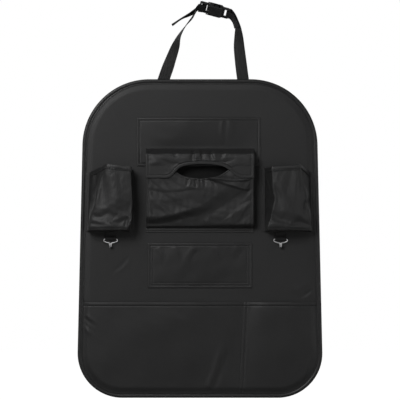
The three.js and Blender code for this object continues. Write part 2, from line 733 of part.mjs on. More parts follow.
// Places of the ladder's bars and slots along the buckle, from its flange back
const FLANGE_BACK = -GAP - LADDER_FLANGE;
const INNER_SLOT = FLANGE_BACK - LADDER_SLOT / 2;
const LADDER_BAR_FRONT = FLANGE_BACK - LADDER_SLOT;
const LADDER_BAR_MIDDLE = LADDER_BAR_FRONT - LADDER_BAR / 2;
const LADDER_BAR_BACK = LADDER_BAR_FRONT - LADDER_BAR;
const OUTER_SLOT = LADDER_BAR_BACK - LADDER_SLOT / 2;
const END_BAR_FRONT = LADDER_BAR_BACK - LADDER_SLOT;
const LADDER_END = END_BAR_FRONT - LADDER_END_BAR;
const ON_BAR = BAR_THICKNESS / 2 + WEBBING_THICKNESS / 2 + GAP; // centre of webbing that lies on a bar
const OVER_TAIL = ON_BAR + WEBBING_THICKNESS + GAP;
const STRAP_Y = WEBBING_THICKNESS / 2; // the sewn ends lie on the panel's rear face

// Adjustable strap: from behind the panel, through the ladder, and out again as a loose tail
function buildLeftStrap() {
  const free = [
    station(-69, STRAP_Y, SEWN_END, 0.94, 0, -0.34),
    station(-65.4, STRAP_Y, SEWN_END + 10.5, 0.94, 0, -0.34),
    station(-61.6, STRAP_Y, TOP + 0.5, 0.94, 0, -0.34),
    station(-57.2, STRAP_Y, 284, 0.94, 0, -0.34),
    station(-50.2, -0.3, 303.5, 0.86, -0.4, -0.3),
    station(-42, -1.6, 326, 0.68, -0.68, -0.27),
    station(-35.4, -3, 344, 0.3, -0.95, -0.12),
    station(-25.5, -4.8, 360, 0.08, -1, 0),
    station(-13.5, -6.6, 375, 0.08, -0.95, 0.25),
  ];
  const through = [
    [LADDER_END - 1.5, OVER_TAIL + 1.6],
    [END_BAR_FRONT, OVER_TAIL + 0.35],
    [LADDER_BAR_MIDDLE - 1, ON_BAR + 1.25],
    [INNER_SLOT - 0.95, ON_BAR],
    [INNER_SLOT, 1.2],
    [INNER_SLOT, -1.2],
    [INNER_SLOT - 1, -ON_BAR + 0.1],
    [LADDER_BAR_MIDDLE, -ON_BAR - 0.2],
    [OUTER_SLOT + 1, -ON_BAR + 0.1],
    [OUTER_SLOT, -1.2],
    [OUTER_SLOT, 1],
    [OUTER_SLOT - 0.9, ON_BAR - 0.2],
    [END_BAR_FRONT - 1.5, ON_BAR + 0.15],
    [LADDER_END - 1, ON_BAR + 0.2],
  ];
  const tail = [
    station(-8.5, -8.4, 386.6, 0.12, -0.88, 0.46),
    station(-17, -9.4, 381, 0.1, -0.94, 0.3),
    station(-31, -10, 373.8, 0.05, -1, 0.1),
    station(-47.5, -10, 362.5, 0.1, -0.98, 0.2),
  ];
  const frames = webbing([...free, ...through.map(inBuckle), ...tail]);
  addMesh("left_strap", strapGeometry(frames), WEBBING);
}

// Fixed strap: from behind the panel to the socket's bar, round it, and back on itself
function buildRightStrap() {
  const bar = SOCKET_LENGTH + LOOP_FRONT + LOOP_SLOT;
  const approach = [
    station(75.6, STRAP_Y, SEWN_END, 0.99, 0, 0.13),
    station(74.5, STRAP_Y, SEWN_END + 10.5, 0.99, 0, 0.13),
    station(73.1, STRAP_Y, TOP + 0.5, 0.99, 0, 0.13),
    station(71.4, STRAP_Y, 284, 0.99, 0, 0.13),
    station(69, -0.2, 303.5, 0.97, -0.2, 0.1),
    station(66.6, -1.2, 326, 0.9, -0.42, 0.08),
    station(65.8, -2.4, 345, 0.7, -0.7, 0.1),
    station(64.6, -3.6, 359, 0.45, -0.88, 0.15),
    station(61, -4, 370.5, 0.2, -0.88, 0.42),
    inBuckle([bar + LOOP_BAR + 5.1, -0.2]),
    inBuckle([bar + LOOP_BAR + 0.4, -ON_BAR - 0.5]),
  ];
  const turn = [
    [bar + 1.2, -ON_BAR - 0.1],
    [bar - 0.4, -ON_BAR - 0.1],
    [bar - 1.5, -BAR_THICKNESS / 2],
    [bar - 1.6, 0],
    [bar - 1.5, BAR_THICKNESS / 2],
    [bar - 0.4, ON_BAR + 0.1],
    [bar + 1.2, ON_BAR + 0.1],
  ].map(inBuckle);
  const perStation = 3;
  const lapFrames = webbing([...approach, ...turn], perStation)
    .filter((_, i) => i % perStation === 0)
    .slice(approach.length - 4, approach.length - 1)
    .reverse();
  const spread = ON_BAR + 1.9;
  const lap = lapFrames.map(({ at, across, through }, i) => ({
    at: at.clone().addScaledVector(through, -mix(LAP_SPREAD, spread, (1 - i / (lapFrames.length - 1)) ** 1.6)),
    across,
  }));
  addMesh("right_strap", strapGeometry(webbing([...approach, ...turn, ...lap], perStation)), WEBBING);
}

// A plate of the buckle: its outline along and across, between two levels through it.
function bucklePlate(outline, low, high, bevel = 0) {
  const shape = new THREE.Shape(outline.map(([x, y]) => new THREE.Vector2(x, y)));
  const geometry = new THREE.ExtrudeGeometry(shape, {
    depth: high - low - 2 * bevel,
    bevelEnabled: bevel > 0,
    bevelThickness: bevel,
    bevelSize: bevel,
    bevelOffset: -bevel,
    bevelSegments: 1,
  });
  return geometry.translate(0, 0, low + bevel);
}

// A rectangle from start to end with half width w, its far corners cut by c.
const tongue = (start, end, w, c) => [
  [start, -w],
  [end - c, -w],
  [end, -w + c],
  [end, w - c],
  [end - c, w],
  [start, w],
];

const CAVITY_HALF_WIDTH = SOCKET_WIDTH / 2 - SOCKET_WALL;
const CAVITY_HALF_HEIGHT = SOCKET_THICKNESS / 2 - SOCKET_WALL;

function buildBuckleSocket(group) {
  const slotStart = SOCKET_LENGTH + LOOP_FRONT;
  const end = slotStart + LOOP_SLOT + LOOP_BAR;
  const half = SOCKET_THICKNESS / 2;
  const bar = BAR_THICKNESS / 2;
  const shell = join(
    bucklePlate(tongue(0, SOCKET_LENGTH, SOCKET_WIDTH / 2, 3), -half, half, SOCKET_BEVEL),
    bucklePlate(tongue(SOCKET_LENGTH - 4, end, LOOP_WIDTH / 2, 3), -bar, bar, 0.6),
  );
  const window = (side) => {
    const ends = [side * (CAVITY_HALF_WIDTH - 1), side * SOCKET_WIDTH].sort((a, b) => a - b);
    return block(WINDOW_START, WINDOW_END, ...ends, -WINDOW_HEIGHT / 2, WINDOW_HEIGHT / 2);
  };
  const inside = SOCKET_LENGTH - SOCKET_WALL;
  const socket = cut(
    shell,
    block(-1, inside, -CAVITY_HALF_WIDTH, CAVITY_HALF_WIDTH, -CAVITY_HALF_HEIGHT, CAVITY_HALF_HEIGHT),
    window(-1),
    window(1),
    block(slotStart, slotStart + LOOP_SLOT, -SLOT_WIDTH / 2, SLOT_WIDTH / 2, -half, half),
  );
  addMesh("buckle_socket", socket, PLASTIC, group);
}

function buildBucklePlug(group) {
  const bar = BAR_THICKNESS / 2;
  const half = SOCKET_THICKNESS / 2;
  const level = CAVITY_HALF_HEIGHT - RUNNING_GAP;
  const outer = CAVITY_HALF_WIDTH - RUNNING_GAP;
  const root = -GAP - LADDER_FLANGE / 2;
  const prong = (side) => {
    const outline = [
      [root, outer - PRONG_WIDTH],
      [PRONG_LENGTH, outer - PRONG_WIDTH],
      [PRONG_LENGTH, outer - 1],
      [BARB_START, CAVITY_HALF_WIDTH + BARB_REACH],
      [BARB_START, outer],
      [root, outer],
    ].map(([x, y]) => [x, side * y]);
    return bucklePlate(side < 0 ? outline.reverse() : outline, -level, level);
  };
  const ladder = tongue(GAP, -LADDER_END, LADDER_WIDTH / 2, 2).map(([x, y]) => [-x, -y]);
  const flangeHalf = SOCKET_WIDTH / 2 - 0.5;
  const plug = join(
    bucklePlate(ladder, -bar, bar, 0.6),
    block(FLANGE_BACK, -GAP, -flangeHalf, flangeHalf, -half + 0.5, half - 0.5),
    prong(-1),
    prong(1),
    block(root, PRONG_LENGTH - 2, -PRONG_GUIDE / 2, PRONG_GUIDE / 2, -level, level),
  );
  const slotAt = (middle) => {
    const reach = LADDER_SLOT / 2;
    return block(middle - reach, middle + reach, -SLOT_WIDTH / 2, SLOT_WIDTH / 2, -half, half);
  };
  addMesh("buckle_plug", cut(plug, slotAt(INNER_SLOT), slotAt(OUTER_SLOT)), PLASTIC, group);
}

function buildBuckle() {
  const group = new THREE.Group();
  buckleFrame.decompose(group.position, group.quaternion, group.scale);
  part.add(group);
  buildBuckleSocket(group);
  buildBucklePlug(group);
}

buildPanel();
patchPocket("upper_pocket", UPPER_LEFT, UPPER_RIGHT, UPPER_BOTTOM, UPPER_TOP, FLAP_TOP + FLAP_FOOT);
buildTissuePouch();
buildFlap();
buildFlapTapes();
patchPocket("lower_pocket", -LOWER_HALF_WIDTH, LOWER_HALF_WIDTH, LOWER_BOTTOM, LOWER_TOP);
buildBottomPocket();
buildSidePocket("left", LEFT_SIDE);
buildSidePocket("right", RIGHT_SIDE);
buildHookTab("left", LEFT_HOOK_X);
buildHookTab("right", RIGHT_HOOK_X);
buildHook("left", LEFT_HOOK_X);
buildHook("right", RIGHT_HOOK_X);
buildLeftStrap();
buildRightStrap();
buildBuckle();

export default part;
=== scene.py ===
"""Looks of a car seat back organizer: padded leatherette panel, sewn pockets, hooks, strap and buckle.

Shapes are worked out in millimetres in the part's own frame and become metres when a mesh is made.
X runs to the right seen from the front, Z runs up, and the front faces -Y. The panel's rear face is Y = 0.
"""

import sys

import json
import logging
import math
from dataclasses import dataclass, field
from enum import Enum
from typing import Callable, Sequence

import bpy
import numpy as np
from bpy.types import Material, Node, NodeSocket, NodeTree, Object, Scene
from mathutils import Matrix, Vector
from mathutils.bvhtree import BVHTree

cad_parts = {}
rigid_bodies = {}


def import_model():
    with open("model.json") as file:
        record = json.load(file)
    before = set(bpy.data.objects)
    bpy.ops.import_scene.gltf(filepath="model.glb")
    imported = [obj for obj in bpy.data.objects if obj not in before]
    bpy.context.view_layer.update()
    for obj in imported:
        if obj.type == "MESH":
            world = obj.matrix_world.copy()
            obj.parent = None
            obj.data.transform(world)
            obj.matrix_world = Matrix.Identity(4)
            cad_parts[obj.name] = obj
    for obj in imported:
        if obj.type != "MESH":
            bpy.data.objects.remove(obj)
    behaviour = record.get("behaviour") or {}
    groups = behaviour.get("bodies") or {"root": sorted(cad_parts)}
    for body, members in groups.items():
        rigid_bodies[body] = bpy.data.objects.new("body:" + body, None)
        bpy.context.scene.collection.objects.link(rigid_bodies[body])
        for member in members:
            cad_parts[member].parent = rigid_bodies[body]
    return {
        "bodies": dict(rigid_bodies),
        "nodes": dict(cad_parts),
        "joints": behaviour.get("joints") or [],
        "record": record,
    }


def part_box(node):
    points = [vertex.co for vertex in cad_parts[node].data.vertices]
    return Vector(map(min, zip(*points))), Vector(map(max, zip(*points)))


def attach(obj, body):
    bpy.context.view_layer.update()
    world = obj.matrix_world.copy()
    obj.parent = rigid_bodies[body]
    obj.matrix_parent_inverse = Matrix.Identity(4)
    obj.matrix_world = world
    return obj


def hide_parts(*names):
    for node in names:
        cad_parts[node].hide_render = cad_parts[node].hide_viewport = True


LOG = logging.getLogger("organizer")
Array = np.ndarray
MM = 0.001
ORGANIZER = "organizer"
SETTLING_SCALE = 10
FRONTWARD = np.array([0.0, -1.0, 0.0])
REARWARD = np.array([0.0, 1.0, 0.0])
UPWARD = np.array([0.0, 0.0, 1.0])


class Slot(Enum):
    """Material slots of the part's record."""

    LEATHERETTE = "leatherette"
    FOAM = "foam"
    LINING = "lining"
    BINDING = "binding"
    TAPE = "tape"
    WEBBING = "webbing"
    STEEL = "steel_wire"
    PLASTIC = "buckle_plastic"


class Side(Enum):
    """Which side of the panel a piece is on, seen from the front."""

    LEFT = -1
    RIGHT = 1

    @property
    def label(self) -> str:
        """The side's word in a piece's name."""
        return self.name.lower()


# Small mathematics


def smooth(value: Array) -> Array:
    """An even step from 0 to 1 as value goes from 0 to 1."""
    t = np.clip(value, 0.0, 1.0)
    return t * t * (3.0 - 2.0 * t)


def mix(start: Array, end: Array, share: Array) -> Array:
    """The place at a share of the way from start to end."""
    return start + (end - start) * share


def unit(vectors: Array) -> Array:
    """The vectors at length 1."""
    lengths = np.linalg.norm(vectors, axis=-1, keepdims=True)
    return vectors / np.maximum(lengths, 1e-9)


def hump(distance: Array, at: float, width: float) -> Array:
    """A soft hump of height 1 round a place, which fades within its width."""
    return np.exp(-(((distance - at) / width) ** 2))


def arched(distance: Array, sewn: float, reach: Array) -> Array:
    """A quarter wave from 0 where a sheet is sewn down to 1 at its reach."""
    return np.sin(math.pi / 2 * np.clip((distance - sewn) / (reach - sewn), 0, 1))


def run_along(points: Array) -> Array:
    """How far each point of a line lies from its start, measured along the line."""
    return np.concatenate([[0], np.cumsum(np.linalg.norm(np.diff(points, axis=0), axis=1))])


def places(
    start: float,
    end: float,
    lines: Sequence[float],
    fine: float = 0.8,
    coarse: float = 2.4,
    reach: float = 7.0,
) -> Array:
    """Places from start to end that lie close together near some lines.

    Args:
        start: First place, in millimetres.
        end: Last place.
        lines: Where the spacing is fine, such as seams and edges.
        fine: Spacing at the lines.
        coarse: Spacing away from them.
        reach: How far from a line the spacing stays fine.

    Returns:
        Rising places, the first and last at start and end.
    """
    t = np.linspace(start, end, 3000)
    near = np.min([np.abs(t - line) for line in lines], axis=0)
    spacing = fine + (coarse - fine) * smooth((near - reach) / reach)
    count = np.concatenate([[0.0], np.cumsum(np.diff(t) / (spacing[1:] + spacing[:-1]) * 2)])
    wanted = np.linspace(0, count[-1], math.ceil(count[-1]) + 1)
    return np.interp(wanted, count, t)


def centripetal(stations: Array, per_span: Sequence[int]) -> Array:
    """A centripetal Catmull-Rom curve through stations of any width, its first three columns the place.

    Args:
        stations: One station a row.
        per_span: How many steps each span is cut into.

    Returns:
        The curve's points, one a row, through every station.
    """
    ends = [2 * stations[0] - stations[1]], [2 * stations[-1] - stations[-2]]
    p = np.concatenate([ends[0], stations, ends[1]])
    d = np.sqrt(np.maximum(np.linalg.norm(np.diff(p[:, :3], axis=0), axis=1), 1e-6))
    out = []
    for i, count in enumerate(per_span):
        p0, p1, p2, p3 = p[i : i + 4]
        d0, d1, d2 = d[i : i + 3]
        m1 = ((p1 - p0) / d0 - (p2 - p0) / (d0 + d1) + (p2 - p1) / d1) * d1
        m2 = ((p2 - p1) / d1 - (p3 - p1) / (d1 + d2) + (p3 - p2) / d2) * d1
        t = (np.arange(count) / count)[:, None]
        bend = p1 + m1 * t + (3 * (p2 - p1) - 2 * m1 - m2) * t**2 + (2 * (p1 - p2) + m1 + m2) * t**3
        out.append(bend)
    return np.concatenate([*out, stations[-1:]])


def even_line(points: Array, spacing: float) -> Array:
    """A line cut into even steps of about spacing."""
    run = run_along(points)
    wanted = np.linspace(0, run[-1], max(int(round(run[-1] / spacing)), 2) + 1)
    return np.stack([np.interp(wanted, run, column) for column in points.T], axis=1)


def round_corners(points: Array, radius: float | Sequence[float], passes: int = 3) -> Array:
    """Rounds a line's inner corners by cutting them, with as many points on every line it is used on.

    Args:
        points: The line's corners, one a row, the first two columns their place in plan.
        radius: How far from a corner its rounding starts, one value or one for each inner corner.
        passes: How often the corners are cut.

    Returns:
        The rounded line.
    """
    line = [points[0]]
    reaches = np.broadcast_to(np.asarray(radius, float), (len(points) - 2,))
    for before, here, after, reach in zip(points[:-2], points[1:-1], points[2:], reaches):
        for other in (before, None, after):
            if other is None:
                line.append(here)
                continue
            length = max(float(np.linalg.norm((other - here)[:2])), 1e-6)
            line.append(mix(here, other, min(reach / length, 0.45)))
    line.append(points[-1])
    rounded = np.array(line)
    for _ in range(passes):
        a, b = rounded[:-1], rounded[1:]
        cuts = np.stack([mix(a, b, 0.25), mix(a, b, 0.75)], axis=1).reshape(-1, rounded.shape[1])
        rounded = np.concatenate([rounded[:1], cuts, rounded[-1:]])
    return rounded


@dataclass(frozen=True)
class Ripple:
    """Slow uneven waves in a sheet."""

    seed: int
    length: float
    height: float
    waves: int = 7

    def __call__(self, x: Array, z: Array) -> Array:
        """Height of the waves at places on the sheet.

        Args:
            x: Places across, in millimetres.
            z: Their heights, in millimetres.

        Returns:
            How far each place is raised, in millimetres.
        """
        draws = np.random.default_rng(self.seed)
        total = np.zeros(np.broadcast(x, z).shape)
        for _ in range(self.waves):
            angle, phase, stretch = draws.uniform([0, 0, 0.7], [math.tau, math.tau, 1.5])
            wave = math.tau / (self.length * stretch)
            total = total + np.sin(wave * (x * math.cos(angle) + z * math.sin(angle)) + phase)
        return self.height * total / math.sqrt(self.waves)


@dataclass(frozen=True)
class Crease:
    """A fold or dent along a drawn path of x and z, with an optional valley beside its ridge.

    A negative height is a valley. lean is the valley's share of the ridge, to the left of the path's
    direction where it is above 0 and to the right where it is below.
    """

    path: tuple[tuple[float, float], ...]
    height: float
    width: float
    lean: float = 0.0
    taper: tuple[float, float] = (0.4, 0.4)

    def across(self, x: Array, z: Array) -> tuple[Array, Array]:
        """Distance from the path, above 0 on its left, and how much of the crease is left along it.

        Args:
            x: Places across, in millimetres.
            z: Their heights, in millimetres.

        Returns:
            The distances and the remaining shares.
        """
        stations = np.array([(*p, 0.0) for p in self.path])
        line = centripetal(stations, [8] * (len(stations) - 1))[:, :2]
        a, step = line[:-1], np.diff(line, axis=0)
        p = np.stack([x, z], axis=-1)[..., None, :]
        along = np.clip(((p - a) * step).sum(-1) / (step**2).sum(-1), 0, 1)
        off = p - (a + along[..., None] * step)
        far = np.linalg.norm(off, axis=-1)
        best = far.argmin(-1)[..., None]
        share = (np.take_along_axis(along, best, -1)[..., 0] + best[..., 0]) / len(step)
        turn = np.take_along_axis(step[:, 0] * off[..., 1] - step[:, 1] * off[..., 0], best, -1)[..., 0]
        fade = smooth(share / max(self.taper[0], 1e-3)) * smooth((1 - share) / max(self.taper[1], 1e-3))
        return np.sign(turn) * np.take_along_axis(far, best, -1)[..., 0], fade

    def __call__(self, x: Array, z: Array) -> Array:
        """Height of the crease at places on the sheet.

        Args:
            x: Places across, in millimetres.
            z: Their heights, in millimetres.

        Returns:
            How far each place is raised, in millimetres.
        """
        distance, fade = self.across(x, z)
        side = distance / self.width
        valley = abs(self.lean) * np.exp(-((side - 1.5 * np.sign(self.lean)) ** 2))
        return self.height * fade * (np.exp(-(side**2)) - valley)


@dataclass(frozen=True)
class Overhang(Crease):
    """A soft bulge on the left of its path that drops to the sheet at the path within its width."""

    reach: float = 30.0

    def __call__(self, x: Array, z: Array) -> Array:
        """Height of the bulge at places on the sheet."""
        distance, fade = self.across(x, z)
        drop = np.sin(math.pi / 2 * np.clip(distance / self.width, 0, 1))
        return self.height * fade * drop * np.exp(-((np.maximum(distance, 0) / self.reach) ** 2))


@dataclass(frozen=True)
class Seam:
    """How a row of stitches presses a sheet down beside its edge."""

    inset: float = 4.5
    depth: float = 0.6
    width: float = 0.9
    roll: float = 0.35

    def __call__(self, distance: Array) -> Array:
        """Lift of the sheet at a distance from its edge."""
        groove = -self.depth * hump(distance, self.inset, self.width)
        return groove + self.roll * np.sin(math.pi * np.clip(distance / self.inset, 0, 1))


def total(shapes: Sequence[Callable[[Array, Array], Array]], x: Array, z: Array) -> Array:
    """The sum of several shapes at places on a sheet."""
    return sum((shape(x, z) for shape in shapes), np.zeros(np.broadcast(x, z).shape))


# Meshes


@dataclass
class Shape:
    """A mesh in the making: its points in millimetres, its faces, and places along and across a weave."""

    points: Array
    faces: list[tuple[int, ...]]
    weave: Array | None = None

    @classmethod
    def joined(cls, shapes: Sequence["Shape"]) -> "Shape":
        """Several shapes as one.

        Args:
            shapes: The shapes, all with weave coordinates or all without.

        Returns:
            One shape of them all.
        """
        faces, start = [], 0
        for shape in shapes:
            faces += [tuple(i + start for i in face) for face in shape.faces]
            start += len(shape.points)
        woven = all(s.weave is not None for s in shapes)
        weave = np.concatenate([s.weave for s in shapes]) if woven else None
        return cls(np.concatenate([s.points for s in shapes]), faces, weave)

    def surface(self) -> BVHTree:
        """The shape as a tree that rays can be cast at."""
        return BVHTree.FromPolygons(self.points.tolist(), self.faces)


def grid_normals(grid: Array) -> Array:
    """Outward normals of a grid whose columns run right and rows run up, seen from outside."""
    across = np.gradient(grid, axis=1)
    up = np.gradient(grid, axis=0)
    return unit(np.cross(across, up))


def grid_quads(rows: int, cols: int) -> Array:
    """Faces of a grid whose points are numbered row by row."""
    corner = (np.arange(rows - 1)[:, None] * cols + np.arange(cols - 1)[None]).ravel()
    return np.stack([corner, corner + 1, corner + 1 + cols, corner + cols], axis=1)


def closed_sheet(front: Array, thickness: float | Array, inward: Array | None = None) -> Shape:
    """A closed sheet with round edges behind a grid of front points.

    Args:
        front: Rows, columns and coordinates, columns to the right and rows up seen from outside.
        thickness: One value, or one for each point.
        inward: Direction of the thickness at each point, or None for the surface's own.

    Returns:
        The closed shape.
    """
    rows, cols = front.shape[:2]
    normals = grid_normals(front)
    depth = np.broadcast_to(np.asarray(thickness, float), (rows, cols))[..., None]
    back = front + (inward if inward is not None else -normals) * depth
    i, j = np.arange(cols), np.arange(rows)
    loop = np.concatenate([i, j[1:] * cols + cols - 1, (rows - 1) * cols + i[-2::-1], j[-2:0:-1] * cols])
    inner = front.copy()
    inner[0], inner[-1] = front[1], front[-2]
    inner[:, 0], inner[:, -1] = inner[:, 1], inner[:, -2]
    flat, flat_back = front.reshape(-1, 3), back.reshape(-1, 3)
    out = unit((flat - inner.reshape(-1, 3))[loop])
    rim = (flat[loop] + flat_back[loop]) / 2 + out * depth.reshape(-1, 1)[loop] * 0.42
    points = np.concatenate([flat, flat_back, rim])
    quads, count = grid_quads(rows, cols), rows * cols
    middle = np.arange(len(loop)) + 2 * count
    after, middle_after = np.roll(loop, -1), np.roll(middle, -1)
    ring_front = np.stack([after, loop, middle, middle_after], axis=1)
    ring_back = np.stack([middle_after, middle, loop + count, after + count], axis=1)
    faces = np.concatenate([quads, quads[:, ::-1] + count, ring_front, ring_back])
    return Shape(points, [tuple(face) for face in faces.tolist()])


def swept(rings: Array, looped: bool = False) -> Shape:
    """A closed body through rings of equally many points, with flat ends unless it is looped.

    Args:
        rings: Stations, points of a ring and coordinates, each ring clockwise seen along the sweep.
        looped: Whether the last ring joins the first.

    Returns:
        The closed shape.
    """
    count, size = rings.shape[:2]
    a = np.arange(size)
    faces = []
    b = np.roll(a, -1)
    for i in range(count if looped else count - 1):
        here, there = i * size, (i + 1) % count * size
        faces.append(np.stack([here + a, there + a, there + b, here + b], axis=1))
    quads = [tuple(face) for face in np.concatenate(faces).tolist()]
    if not looped:
        quads += [tuple(a.tolist()), tuple((a[::-1] + (count - 1) * size).tolist())]
    return Shape(rings.reshape(-1, 3), quads)


def tube(line: Array, radius: float | Array, sides: int = 8, looped: bool = False) -> Shape:
    """A round wire along a line of points, its ring started from a direction that no wire here runs in.

    Args:
        line: Points of the wire's middle.
        radius: The wire's radius, one or for each point.
        sides: How many sides its section has.
        looped: Whether its end joins its start.

    Returns:
        The closed shape.
    """
    ahead = np.roll(line, -1, axis=0) - np.roll(line, 1, axis=0) if looped else np.gradient(line, axis=0)
    tangents = unit(ahead)
    normal = unit(np.cross(tangents[0], [0.31, 0.2, 0.93]))
    frames = []
    for tangent in tangents:
        normal = unit(normal - tangent * (normal @ tangent))
        frames.append((normal, np.cross(tangent, normal)))
    angles = (np.arange(sides) * math.tau / sides)[None, :, None]
    axes = np.array(frames)
    ring = np.cos(angles) * axes[:, None, 0] - np.sin(angles) * axes[:, None, 1]
    size = np.broadcast_to(np.asarray(radius, float), (len(line),))[:, None, None]
    return swept(line[:, None] + ring * size, looped)


@dataclass(frozen=True)
class Thread:
    """Sewing thread, laid as one short raised stitch after another."""

    pitch: float = 3.7
    length: float = 2.75
    radius: float = 0.3
    sink: float = 0.3
    sides: int = 6

    def row(self, path: Array, normals: Array) -> list[Shape]:
        """Stitches along a path on a surface.

        Args:
            path: Points on the surface.
            normals: The surface's outward normals there.

        Returns:
            One shape for each stitch.
        """
        run = run_along(path)
        shares = np.linspace(0, 1, 5)
        lifts = np.array([-self.sink, self.radius * 0.5, self.radius * 0.8, self.radius * 0.5, -self.sink])
        stitches = []
        for start in np.arange(self.pitch * 0.3, run[-1] - self.length, self.pitch):
            at = start + shares * self.length
            points = np.stack([np.interp(at, run, c) for c in path.T], axis=1)
            outward = unit(np.stack([np.interp(at, run, c) for c in normals.T], axis=1))
            stitches.append(tube(points + outward * lifts[:, None], self.radius, self.sides))
        return stitches

    def on(self, tree: BVHTree, path: Array, towards: Array) -> list[Shape]:
        """Stitches where rays from in front of a path meet a surface.

        Args:
            tree: The surface.
            path: The row's places, anywhere in front of or behind the surface.
            towards: Direction of the rays.

        Returns:
            One shape for each stitch.
        """
        hits, normals = [], []
        for place in even_line(path, 0.8):
            hit, normal, _, _ = tree.ray_cast((place - towards * 80).tolist(), towards.tolist())
            if hit is None:
                continue
            hits.append(hit)
            normals.append(normal if normal.dot(Vector(towards)) < 0 else -normal)
        if len(hits) < 8:
            return []
        return self.row(np.array(hits), np.array(normals))


# Shader graphs


class Graph:
    """A short way to lay out shader nodes."""

    def __init__(self, tree: NodeTree) -> None:
        """Keeps the tree that nodes are added to."""
        self.tree = tree

    def add(self, kind: str, inputs: dict | None = None, **settings) -> Node:
        """Adds a node.

        Args:
            kind: The node's type without its ShaderNode prefix.
            inputs: Values or sockets for its inputs, by name or number.
            settings: Its other properties.

        Returns:
            The node.
        """
        node = self.tree.nodes.new("ShaderNode" + kind)
        for key, value in settings.items():
            setattr(node, key, value)
        for key, value in (inputs or {}).items():
            if isinstance(value, NodeSocket):
                self.link(value, node, key)
            else:
                node.inputs[key].default_value = value
        return node

    def link(self, source: NodeSocket, node: Node, entry: str | int) -> None:
        """Leads a socket into a node's input."""
        self.tree.links.new(source, node.inputs[entry])

    def math(self, operation: str, a: object, b: object = 0.0) -> NodeSocket:
        """One arithmetic step on two values or sockets."""
        return self.add("Math", {0: a, 1: b}, operation=operation).outputs[0]

    def ramp(
        self, value: object, low: float, high: float, start: float = 0.0, end: float = 1.0
    ) -> NodeSocket:
        """Maps a value's range from low to high onto start to end, with a soft step."""
        names = {"Value": value, "From Min": low, "From Max": high, "To Min": start, "To Max": end}
        return self.add("MapRange", names, interpolation_type="SMOOTHSTEP").outputs[0]

    def blend(self, share: object, a: object, b: object) -> NodeSocket:
        """Mixes two colours."""
        return self.add("Mix", {0: share, 6: a, 7: b}, data_type="RGBA").outputs[2]

    def noise(self, vector: object, scale: object, detail: float = 2.0) -> NodeSocket:
        """Soft noise from 0 to 1."""
        return self.add("TexNoise", {"Vector": vector, "Scale": scale, "Detail": detail}).outputs[0]


